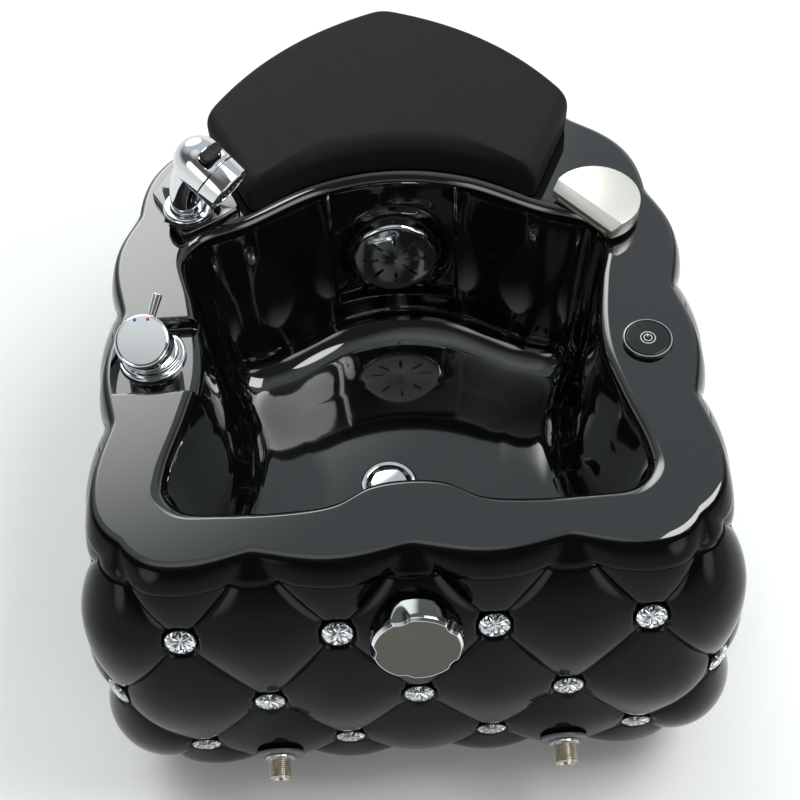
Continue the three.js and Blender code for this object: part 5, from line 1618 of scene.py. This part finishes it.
@dataclass
class HandShower:
    """The pull-out hand shower on its dock."""

    place: Vector
    rim_height: float = 345
    dock_rise: float = 8
    head_radius: float = 23.5
    head_length: float = 60
    ring_length: float = 18
    turn: float = -37.6
    dip: float = 29.4
    reach: float = 28
    height: float = 87.5
    bend_from: float = 370
    bend: tuple[float, float] = (2, 400)
    button_back: float = 31.5
    button_half: tuple[float, float] = (7.2, 4.9)
    pocket_gap: float = 0.35
    pocket_depth: float = 5.6
    nozzle_rings: tuple[tuple[float, int], ...] = ((5.5, 6), (10.5, 12), (15.5, 18))

    def axis(self) -> Vector:
        """Where the head points."""
        return facing(self.turn, self.dip)

    def centre(self) -> Vector:
        """The middle of the head's round back."""
        middle = Vector((self.place.x, self.place.y, self.rim_height + self.height))
        return middle + facing(self.turn, 0) * self.reach

    def build(self) -> None:
        """Make the dock, the handle, its head, nozzles and button."""
        here = Matrix.Translation((self.place.x, self.place.y, 0))
        dock = self.rim_height + self.dock_rise
        collar = [(16.5, dock + 0.3), (22, dock + 0.3), (22.6, dock + 2.6), (22, dock + 5.3),
                  (16.5, dock + 5.3), (16.5, dock + 0.3)]
        fit(lathe("shower_collar", collar, RUBBER, here), "tub", "rubber", "shower_dock_collar")
        low = dock + 5.6
        ring = [(16.7, low), (22.9, low), (23.7, low + 1.2), (23.7, low + 5), (21.6, low + 7),
                (18.2, low + 7), (16.7, low + 5.4), (16.7, low)]
        fit(lathe("shower_ring", ring, CHROME, here, 0.9), "tub", "chrome", "shower_dock_ring")
        r, face = self.head_radius, self.head_length - self.head_radius
        seam = face - self.ring_length
        aim = axis_matrix(self.centre(), self.axis())
        back = [*arc(r, -math.pi / 2, 0, 24), (r, seam - 1.1), (r - 0.5, seam - 0.5),
                (0, seam - 0.5)]
        whole = merged([self._stem(dock - 8, low), revolve(back, 128).moved(aim)])
        handle = build("shower_handle_cover", whole, [CHROME])
        cut(handle, CHROME, self._pill(self.pocket_gap, -self.pocket_depth, 12))
        fit(handle, "handset", "chrome", "shower_handle")
        rim = [(r - 2.5, seam + 0.1), (r - 0.5, seam + 0.1), (r, seam + 0.6), (r, face - 1.6),
               (r - 1.0, face - 0.2), (r - 2.2, face), (r - 2.5, face - 1), (r - 2.5, seam + 0.1)]
        fit(lathe("shower_head_band", rim, CHROME, aim, 0.3, 128), "handset", "chrome",
            "shower_head_ring")
        plate = [(0, seam + 0.2), (r - 2.8, seam + 0.2), (r - 2.8, face - 2.4),
                 (r - 3.6, face - 1.6), (0, face - 1.4)]
        fit(lathe("shower_nozzle_plate", plate, BLACK_ABS, aim), "handset", "black_plastic",
            "shower_nozzle_face")
        places = [(aim @ Vector(spot), self.axis()) for radius, count in self.nozzle_rings
                  for spot in circle(radius, face - 1.6, turns(count))]
        tip = revolve(rounded([(0, 0), (1.1, 0), (1.1, 0.9), (0.5, 1.3), (0, 1.3)], 0.2), 16)
        fit(scatter("shower_nozzle_tips", tip, places, RUBBER), "handset", "black_plastic")
        button = build("spray_button_cap", self._pill(0, -2.5, 3.5), [SOFT_BLACK])
        softened(button, 1.2, 4)
        fit(button, "spray_button", "black_plastic", "spray_button")

    def _stem(self, foot: float, low: float) -> Shape:
        """Sweep the handle, upright in the dock and then bent forward into the head.

        Args:
            foot: height of its lower end.
            low: height of the ring's lower face.

        Returns:
            The closed handle.
        """
        ahead = np.array(facing(self.turn, 0))
        side, up = np.array((-ahead[1], ahead[0], 0)), np.array((0, 0, 1))
        line = [((0, z), (0, 1), radius) for z, radius in
                ((foot, 14), (foot + 0.6, 15), (foot + 2, 16), (low + 8, 16))]
        start, bend = np.array((0, self.bend_from)), np.array(self.bend)
        end = np.array((self.reach, self.rim_height + self.height))
        for t in np.linspace(0, 1, 20):
            spot = start * (1 - t) ** 2 + bend * 2 * t * (1 - t) + end * t * t
            heading = (bend - start) * (1 - t) + (end - bend) * t
            line.append((spot, heading / np.linalg.norm(heading), 15.8 - 0.6 * t))
        angles = turns(72)
        rows = []
        for (out, height), (lean, rise), radius in line:
            across = ahead * rise - up * lean
            middle = np.array((self.place.x, self.place.y, height)) + ahead * out
            ring = np.outer(np.cos(angles), across) + np.outer(np.sin(angles), side)
            rows.append(middle + radius * ring)
        return capped(rows)

    def _pill(self, grow: float, low: float, high: float) -> Shape:
        """The button's rounded bar across the top of the head.

        Args:
            grow: how much larger it is on all sides.
            low: height of its lower face over the head's skin.
            high: height of its upper face.

        Returns:
            The bar in place.
        """
        reach, half = self.button_half
        end = arc(half + grow, -math.pi / 2, math.pi / 2, 17)
        flat = np.array([(reach + x, y) for x, y in end] + [(-reach - x, -y) for x, y in end])
        rows = [level(flat, self.head_radius + z) for z in (low, high)]
        side, ahead = facing(self.turn + 90, 0), self.axis()
        up = ahead.cross(side)
        at = self.centre() + ahead * (self.head_length - self.head_radius - self.button_back)
        turned = Matrix((side, up.cross(side), up)).transposed().to_4x4()
        return capped(rows).moved(Matrix.Translation(at) @ turned)


@dataclass
class Spout:
    """The half-moon waterfall spout."""

    place: Vector
    rim_height: float = 345
    radius: float = 41
    flat: float = 18
    turn: float = 219
    thickness: float = 15
    rise: float = 6
    slot_half: float = 30
    slot_height: float = 2.8
    slot_rise: float = 4
    slope: float = 30
    slope_back: float = 10
    shank_back: float = 20
    shank_length: float = 46

    def outline(self) -> np.ndarray:
        """Three quarters of a disc, closed by the straight front."""
        end = math.atan2(math.sqrt(self.radius**2 - self.flat**2), self.flat)
        around = circle(self.radius, 0, np.linspace(end, 2 * math.pi - end, 97))[:, :2]
        return np.vstack([around, np.linspace(around[-1], around[0], 32)[1:-1]])

    def build(self) -> None:
        """Make the body with its sloping front strip and slot."""
        rim, base = self.rim_height, self.rim_height + self.rise
        top = base + self.thickness
        where = Matrix.Translation((self.place.x, self.place.y, 0))
        where = where @ Matrix.Rotation(math.radians(self.turn), 4, "Z")
        body = capped([level(self.outline(), z) for z in (base, top)]).moved(where)
        piece = build("waterfall_spout", body, [SATIN], 30)
        lower = Matrix.Translation((self.flat - self.slope_back, 0, top))
        lower = lower @ Matrix.Rotation(math.radians(self.slope), 4, "Y")
        wedge = block(40, 2.4 * self.radius, 14, (20, 0, 7)).moved(where @ lower)
        middle = (self.flat, 0, base + self.slot_rise)
        slot = block(30, 2 * self.slot_half, self.slot_height, middle)
        cut(piece, SATIN, wedge, slot.moved(where))
        softened(piece, 0.9, 3, 9)
        gasket = [(0, rim + 0.3), (19, rim + 0.3), (19, base + 0.6), (0, base + 0.6)]
        low = rim - self.shank_length
        shank = revolve([(0, low), (10, low), (10, base), (0, base)], 32).painted(1)
        below = where @ Matrix.Translation((-self.shank_back, 0, 0))
        lower_parts = merged([revolve(rounded(gasket, 0.5), 64), shank]).moved(below)
        fit(piece, "tub", "satin", "spout_body")
        fit(build("spout_foot", lower_parts, [RUBBER, BRASS]), "tub", "satin", "spout_body")

    def shank(self) -> Vector:
        """Where the shank goes through the deck."""
        return self.place - facing(self.turn, 0) * self.shank_back


@dataclass
class PowerSwitch:
    """The round push switch on the right deck."""

    place: Vector

    def build(self) -> None:
        """Make the bezel, the button and its pale marks."""
        here = Matrix.Translation(self.place)
        bezel = [(14, 0.3), (22, 0.3), (22, 2.8), (21.3, 4.2), (19.4, 4.3), (19.4, 1.2),
                 (14, 1.2), (14, 0.3)]
        silver = [(20.2, 4.1), (20.9, 4.1), (20.9, 4.42), (20.2, 4.48), (20.2, 4.1)]
        rim = merged([revolve(rounded(bezel, 0.7), 128), revolve(silver, 128).painted(1)])
        fit(build("switch_bezel", rim.moved(here), [BLACK_ABS, CHROME]), "tub", "black_plastic",
            "power_bezel")
        cap = [(0, 2.9), (18.9, 2.9), (18.9, 4.1), (18.3, 4.6), (0, 4.6)]
        stem = [(0, -12), (4, -12), (4, 3.2), (0, 3.2)]
        parts = [revolve(rounded(cap, 0.4), 128), revolve(stem, 32)]
        for inner, outer, high, sides in ((6.0, 6.7, 4.68, 96), (3.1, 3.8, 4.67, 64)):
            mark = [(inner, 4.5), (outer, 4.5), (outer, high), (inner, high), (inner, 4.5)]
            parts.append(revolve(mark, sides).painted(1))
        parts.append(block(0.8, 3.4, 0.2, (0, 2.8, 4.6)).painted(1))
        button = build("switch_button", merged(parts).moved(here), [BLACK_ABS, PALE_MARK])
        fit(button, "power_button", "black_plastic", "power_button")


@dataclass
class DrainKnob:
    """The five-lobed knob that works the drain."""

    place: Vector
    facing: Vector
    radius: float = 38
    low: float = -0.7
    thickness: float = 21
    lobes: int = 5
    phase: float = 37
    scoop: float = 13
    scoop_depth: float = 4.5
    scoop_lean: float = 22
    scoop_edge: float = 1.4
    columns: int = 360

    def shape(self) -> Shape:
        """Stack the knob's rows, with the scallops taken out of their radius.

        Returns:
            The knob on +Z: side 0 and face 1 in the darkened chrome copies, a painted dark
            reflection, and the edge between them 2 in bright chrome, a painted highlight line.
        """
        r, low, high = self.radius, self.low, self.low + self.thickness
        side = [(r - 1, low), (r, low + 1), (r, low + 6), (r - 0.5, high - 5),
                (r - 1.2, high - 2.4), (r - 3.2, high)]
        outline = rounded(side, 1.6, 6)
        fine = []
        for (r0, z0), (r1, z1) in zip(outline, outline[1:]):
            steps = max(1, int(abs(z1 - z0) / 0.8))
            fine += [(r0 + (r1 - r0) * i / steps, z0 + (z1 - z0) * i / steps) for i in range(steps)]
        fine.append(outline[-1])
        angles = turns(self.columns)
        rows = [circle(np.minimum(radius, self._scooped(angles, z, high, radius)), z, angles)
                for radius, z in fine]
        first, last = rows[0], rows[-1]
        rows = [first * (0.02, 0.02, 1), *rows]
        rows += [last * (share, share, 1) for share in (0.985, 0.9, 0.5, 0.02)]
        skin = capped(rows)
        edge = sum(1 for _, z in fine if z < high - 2.2) * self.columns
        face, foot = (len(rows) - 4) * self.columns, len(skin.faces) - 2
        finish = [0 if k < edge or k == foot else 1 if k >= face else 2
                  for k in range(len(skin.faces))]
        return Shape(skin.points, skin.faces, finish)

    def _scooped(self, angles: np.ndarray, z: float, high: float, radius: float) -> np.ndarray:
        """How far out the knob reaches where tilted round scallops are cut into it.

        Args:
            angles: the angles round the knob.
            z: the height of the row.
            high: the height of the knob's face.
            radius: the row's radius without scallops.

        Returns:
            The reach at each angle, very large where there is no scallop.
        """
        pitch = 2 * math.pi / self.lobes
        turn = (angles - math.radians(self.phase) + pitch / 2) % pitch - pitch / 2
        lean = math.radians(self.scoop_lean)
        middle = self.radius + self.scoop - self.scoop_depth + (high - z) * math.tan(lean)
        wide, deep = self.scoop, self.scoop / math.cos(lean)
        a = np.cos(turn) ** 2 / deep**2 + np.sin(turn) ** 2 / wide**2
        b = -2 * middle * np.cos(turn) / deep**2
        inside = b * b - 4 * a * (middle**2 / deep**2 - 1)
        hit = np.where(inside > 0, (-b - np.sqrt(np.maximum(inside, 0))) / (2 * a), 1e3)
        gap = np.clip((hit - radius) / self.scoop_edge, -1, 1)
        soft = radius - self.scoop_edge * 0.25 * (1 - gap) ** 2
        cut_off = np.where(hit < radius - self.scoop_edge, hit, soft)
        return np.where(hit > radius + self.scoop_edge, 1e3, cut_off)

    def build(self) -> None:
        """Make the knob."""
        shape = self.shape().moved(axis_matrix(self.place, self.facing))
        # Side and face take darkened chrome as painted reflection; the edge's bright chrome is a
        # painted highlight.
        knob = build("lobed_knob", shape, [SIDE_CHROME_PAINTED_REFLECTION, SMOKED_CHROME_PAINTED_REFLECTION, CHROME], 50)
        fit(knob, "drain_knob", "chrome", "drain_knob")


@dataclass
class Inlet:
    """A threaded supply nipple with its washer."""

    word: str
    place: Vector
    facing: Vector
    radius: float = 10.48
    bore: float = 7.5
    inner_radius: float = 9.4
    inner_length: float = 45
    pitch: float = 1.814
    depth: float = 1.1
    length: float = 17.4
    low: float = 5.2

    def thread(self, rows_per_turn: int = 10) -> Shape:
        """Cut a helical thread on one end of a bored tube.

        Args:
            rows_per_turn: rows of points to a turn.

        Returns:
            The tube on +Z.
        """
        count = int(self.length / self.pitch * rows_per_turn)
        angles = turns(64)
        low, top = self.low, self.low + self.length
        rows = []
        for i in range(count + 1):
            z = low + self.length * i / count
            phase = (z / self.pitch - angles / (2 * math.pi)) % 1
            tooth = np.clip(1.25 - np.abs(phase - 0.5) * 3.2, 0, 1)
            fade = min(1.0, (z - low) / 1.2, (top - z) / 1.2)
            rows.append(circle(self.radius - self.depth * (1 - tooth * fade), z, angles))
        bottom = low - self.inner_length
        for radius, z in ((self.bore + 0.6, top), (self.bore, top - 0.6), (self.bore, low - 30),
                          (self.bore, bottom), (self.inner_radius, bottom),
                          (self.inner_radius, low)):
            rows.append(circle(radius, z, angles))
        return grid(rows, closed_columns=True)

    def build(self) -> None:
        """Make the washer and the nipple."""
        where = axis_matrix(self.place, self.facing)
        washer = [(10.8, -0.7), (21.5, -0.7), (21.5, 1.6), (20.6, 2.3), (10.8, 2.3), (10.8, -0.7)]
        fit(lathe(f"supply_washer_{self.word}", washer, WASHER_NYLON, where), "tub",
            "grey_plastic", f"inlet_washer_{self.word}")
        collar = rounded([(8, 2.6), (13.5, 2.6), (13.5, 5.1), (8, 5.1), (8, 2.6)], 0.4)
        whole = merged([revolve(collar, 64).painted(1), self.thread()]).moved(where)
        nipple = build(f"supply_nipple_{self.word}", whole, [NICKEL, CHROME], 45)
        fit(nipple, "tub", "nickel", f"inlet_nipple_{self.word}")


@dataclass
class Jet:
    """The massage jet's cover, with a ring of vents."""

    place: Vector
    facing: Vector
    radius: float = 43
    height: float = 17
    wall: float = 2.4
    windows: int = 8

    def build(self) -> None:
        """Make the cover, pierced by its vents."""
        where = axis_matrix(self.place, self.facing)
        r, h, w = self.radius, self.height, self.wall
        cup = [(r - w - 4, 2.6), (r, 2.6), (r, h - 3.2), (r - 1.2, h - 0.9), (r - 3.5, h),
               (0, h + 0.6), (0, h - w), (r - w - 5, h - w), (r - w, h - w - 3), (r - w, 4.6),
               (r - w - 4, 4.6), (r - w - 4, 2.6)]
        cover = lathe("jet_dome", cup, CHROME, where, 2.0, 128)
        spins = [where @ Matrix.Rotation(a, 4, "Z") for a in turns(self.windows)]
        vents = [block(14, 3, 12, (24, 0, h)), block(14, 7, 5, (r, 0, 8.6))]
        holes = merged(vent.moved(spin) for vent in vents for spin in spins)
        cut(cover, BLACK_ABS, holes)
        crisp(cover.data)
        fit(cover, "tub", "chrome", "jet_cover")


@dataclass
class Drain:
    """The bowl's outlet with its pop-up plug."""

    place: Vector

    def build(self) -> None:
        """Make the flange and the plug."""
        here = Matrix.Translation(self.place)
        flange = [(20, -30), (22.7, -30), (22.7, 0.3), (28, 0.3), (28, 2), (26, 4), (23, 3.5),
                  (20, 1), (20, -30)]
        fit(lathe("outlet_flange", flange, CHROME, here, 0.7), "tub", "chrome", "drain_flange")
        plug = [(0, -24), (4, -24), (4, -0.1), (19, -0.1), (19, 0.9), (22, 3.4), (22, 4.6),
                (17, 6.8), (0, 8.2)]
        fit(lathe("outlet_plug", plug, CHROME, here, 0.8), "drain_plug", "chrome", "drain_plug")


# ------------------------------------------------------------------------------ stage


@dataclass(frozen=True)
class View:
    """The camera, placed by where it stands and how it looks."""

    location: Triple = (-0.0028, -0.8389, 1.2471)
    down: float = 52.917
    roll: float = 3.144
    lens: float = 60.3
    sensor: float = 36

    def build(self) -> None:
        """Make the camera."""
        down, roll = math.radians(self.down), math.radians(self.roll)
        right = Vector((1, 0, 0))
        ahead = Vector((0, math.cos(down), -math.sin(down)))
        up = Vector((0, math.sin(down), math.cos(down)))
        x = right * math.cos(roll) - up * math.sin(roll)
        y = right * math.sin(roll) + up * math.cos(roll)
        matrix = Matrix((x, y, -ahead)).transposed().to_4x4()
        matrix.translation = Vector(self.location)
        data = bpy.data.cameras.new("main_view")
        data.lens, data.sensor_width = self.lens, self.sensor
        camera = bpy.data.objects.new("main_view", data)
        camera.matrix_world = matrix
        bpy.context.scene.collection.objects.link(camera)
        bpy.context.scene.camera = camera


@dataclass(frozen=True)
class Softbox:
    """A large square soft light, aimed at a point. Places are in metres."""

    name: str
    location: Triple
    target: Triple
    width: float
    watts: float

    def build(self) -> None:
        """Make the light."""
        data = bpy.data.lights.new(self.name, "AREA")
        data.size, data.energy = self.width, self.watts
        lamp = bpy.data.objects.new(self.name, data)
        aim = (Vector(self.target) - Vector(self.location)).to_track_quat("-Z", "Y")
        lamp.matrix_world = Matrix.Translation(self.location) @ aim.to_matrix().to_4x4()
        bpy.context.scene.collection.objects.link(lamp)


@dataclass(frozen=True)
class Glow:
    """A bright patch of the room.

    Attributes:
        aim: the direction of its middle.
        low: how closely a ray agrees with the aim where the glow starts, 1 at best.
        high: how closely where it is full.
        strength: its full strength.
    """

    aim: Triple
    low: float
    high: float
    strength: float

    def ramp(self, tree: bpy.types.NodeTree, ray: bpy.types.NodeSocket) -> bpy.types.NodeSocket:
        """The glow's strength along a ray."""
        agreed = node(tree, "ShaderNodeVectorMath", {0: ray, 1: self.aim}, operation="DOT_PRODUCT")
        return soft_step(tree, agreed.outputs["Value"], self.low, self.high, 0.0, self.strength)


def soft_step(
    tree: bpy.types.NodeTree,
    value: bpy.types.NodeSocket,
    low: float,
    high: float,
    start: float,
    end: float,
) -> bpy.types.NodeSocket:
    """A soft step from start to end as the value goes from low to high."""
    inputs = {"Value": value, 1: low, 2: high, 3: start, 4: end}
    return node(tree, "ShaderNodeMapRange", inputs, interpolation_type="SMOOTHSTEP").outputs[0]


@dataclass
class Studio:
    """Pale floor, a room that is pale low down and dim above, and soft light."""

    sky: float = 0.12
    above: Glow = Glow((0.0, 0.6, 0.8), 0.45, 0.8, 0.55)
    above_colour: Triple = (0.84, 0.95, 1.0)
    window: Glow = Glow((-0.27, 0.78, 0.565), 0.905, 1.0, 5.2)
    zenith: Glow = Glow((-0.18, -0.22, 0.96), 0.9, 1.0, 0.42)
    front_left: Glow = Glow((-0.62, -0.68, 0.39), 0.955, 0.995, 2.5)
    front_right: Glow = Glow((0.66, -0.66, 0.36), 0.955, 0.995, 2.5)
    horizon: float = 0.75
    horizon_from: float = 0.02
    horizon_to: float = 0.45
    room_colour: Triple = (0.99, 1.0, 0.97)
    side_light: Softbox = Softbox("side_light", (1.5, 0.0, 2.5), (0.1, 0.0, 0.2), 1.4, 44)

    def build(self) -> None:
        """Make floor, world and light."""
        floor = build("floor", block(8000, 8000, 10, (0, 0, -5.05)), [MATTE_FLOOR])
        world = bpy.data.worlds.new("dim_room")
        world.use_nodes = True
        tree = world.node_tree
        tree.nodes.clear()
        ray = node(tree, "ShaderNodeTexCoord").outputs["Generated"]
        height = node(tree, "ShaderNodeSeparateXYZ", {"Vector": ray}).outputs["Z"]
        total = soft_step(tree, height, self.horizon_from, self.horizon_to, self.horizon, 0.0)
        total = node(tree, "ShaderNodeMath", {0: total, 1: self.sky}, operation="ADD").outputs[0]
        for glow in (self.window, self.zenith, self.front_left, self.front_right):
            added = {0: total, 1: glow.ramp(tree, ray)}
            total = node(tree, "ShaderNodeMath", added, operation="ADD").outputs[0]
        shaders = [
            node(tree, "ShaderNodeBackground", {"Color": (*colour, 1.0), "Strength": strength})
            for colour, strength in ((self.room_colour, total),
                                     (self.above_colour, self.above.ramp(tree, ray)))
        ]
        both = {index: shader.outputs[0] for index, shader in enumerate(shaders)}
        both = node(tree, "ShaderNodeAddShader", both)
        node(tree, "ShaderNodeOutputWorld", {"Surface": both.outputs[0]})
        bpy.context.scene.world = world
        self.side_light.build()


# ------------------------------------------------------------------------------ whole


def finish_plain_nodes() -> None:
    """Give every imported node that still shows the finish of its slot, which its material names."""
    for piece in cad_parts.values():
        if piece.hide_render:
            continue
        finish = PLAIN_FINISHES[Slot(piece.data.materials[0].name)]
        piece.data.materials.clear()
        piece.data.materials.append(finish.material())
        crisp(piece.data)


@dataclass
class FootBasin:
    """The whole object, from its tub to its smallest fitting."""

    form: TubForm = field(default_factory=TubForm)
    mixer: tuple[float, float] = (-219.5, 212)
    shower: tuple[float, float] = (-190.5, 366)
    power: tuple[float, float] = (214, 188)
    spout: tuple[float, float] = (188.3, 345.6)
    bores: tuple[float, ...] = (16.3, 19.3, 14.3, 10.3)

    def build(self) -> None:
        """Make every piece."""
        form = self.form
        rim, surface = form.rim_height, TubSurface(form)
        skirt, basin = Skirt(form, surface), Basin(form, surface)

        def on_deck(spot: tuple[float, float], height: float) -> Vector:
            """The point at x and a distance from the front, at a height."""
            return Vector((spot[0], form.y(spot[1]), height))

        skirt.build()
        mixer = on_deck(self.mixer, rim - basin.platform_drop)
        shower = on_deck(self.shower, rim + basin.dock_rise)
        power = on_deck(self.power, rim)
        spout = Spout(on_deck(self.spout, rim))
        bored = (mixer, shower, power, spout.shank())
        basin.build([(at.x, at.y, radius, at.z) for at, radius in zip(bored, self.bores)])
        FootPad(form).build()
        Mixer(mixer).build()
        HandShower(shower).build()
        spout.build()
        PowerSwitch(power).build()
        DrainKnob(*skirt.knob_place()).build()
        for side, word in ((-1, "left"), (1, "right")):
            Inlet(word, *skirt.inlet_place(side)).build()
        Jet(*basin.jet_place()).build()
        Drain(on_deck(basin.drain, rim - basin.bowl_depth)).build()


def main() -> None:
    """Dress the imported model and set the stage."""
    logging.basicConfig(level=logging.INFO, format="%(name)s: %(message)s")
    View().build()
    FootBasin().build()
    finish_plain_nodes()
    Studio().build()
    bpy.context.scene.view_settings.view_transform = "Standard"


if __name__ == "__main__":
    main()
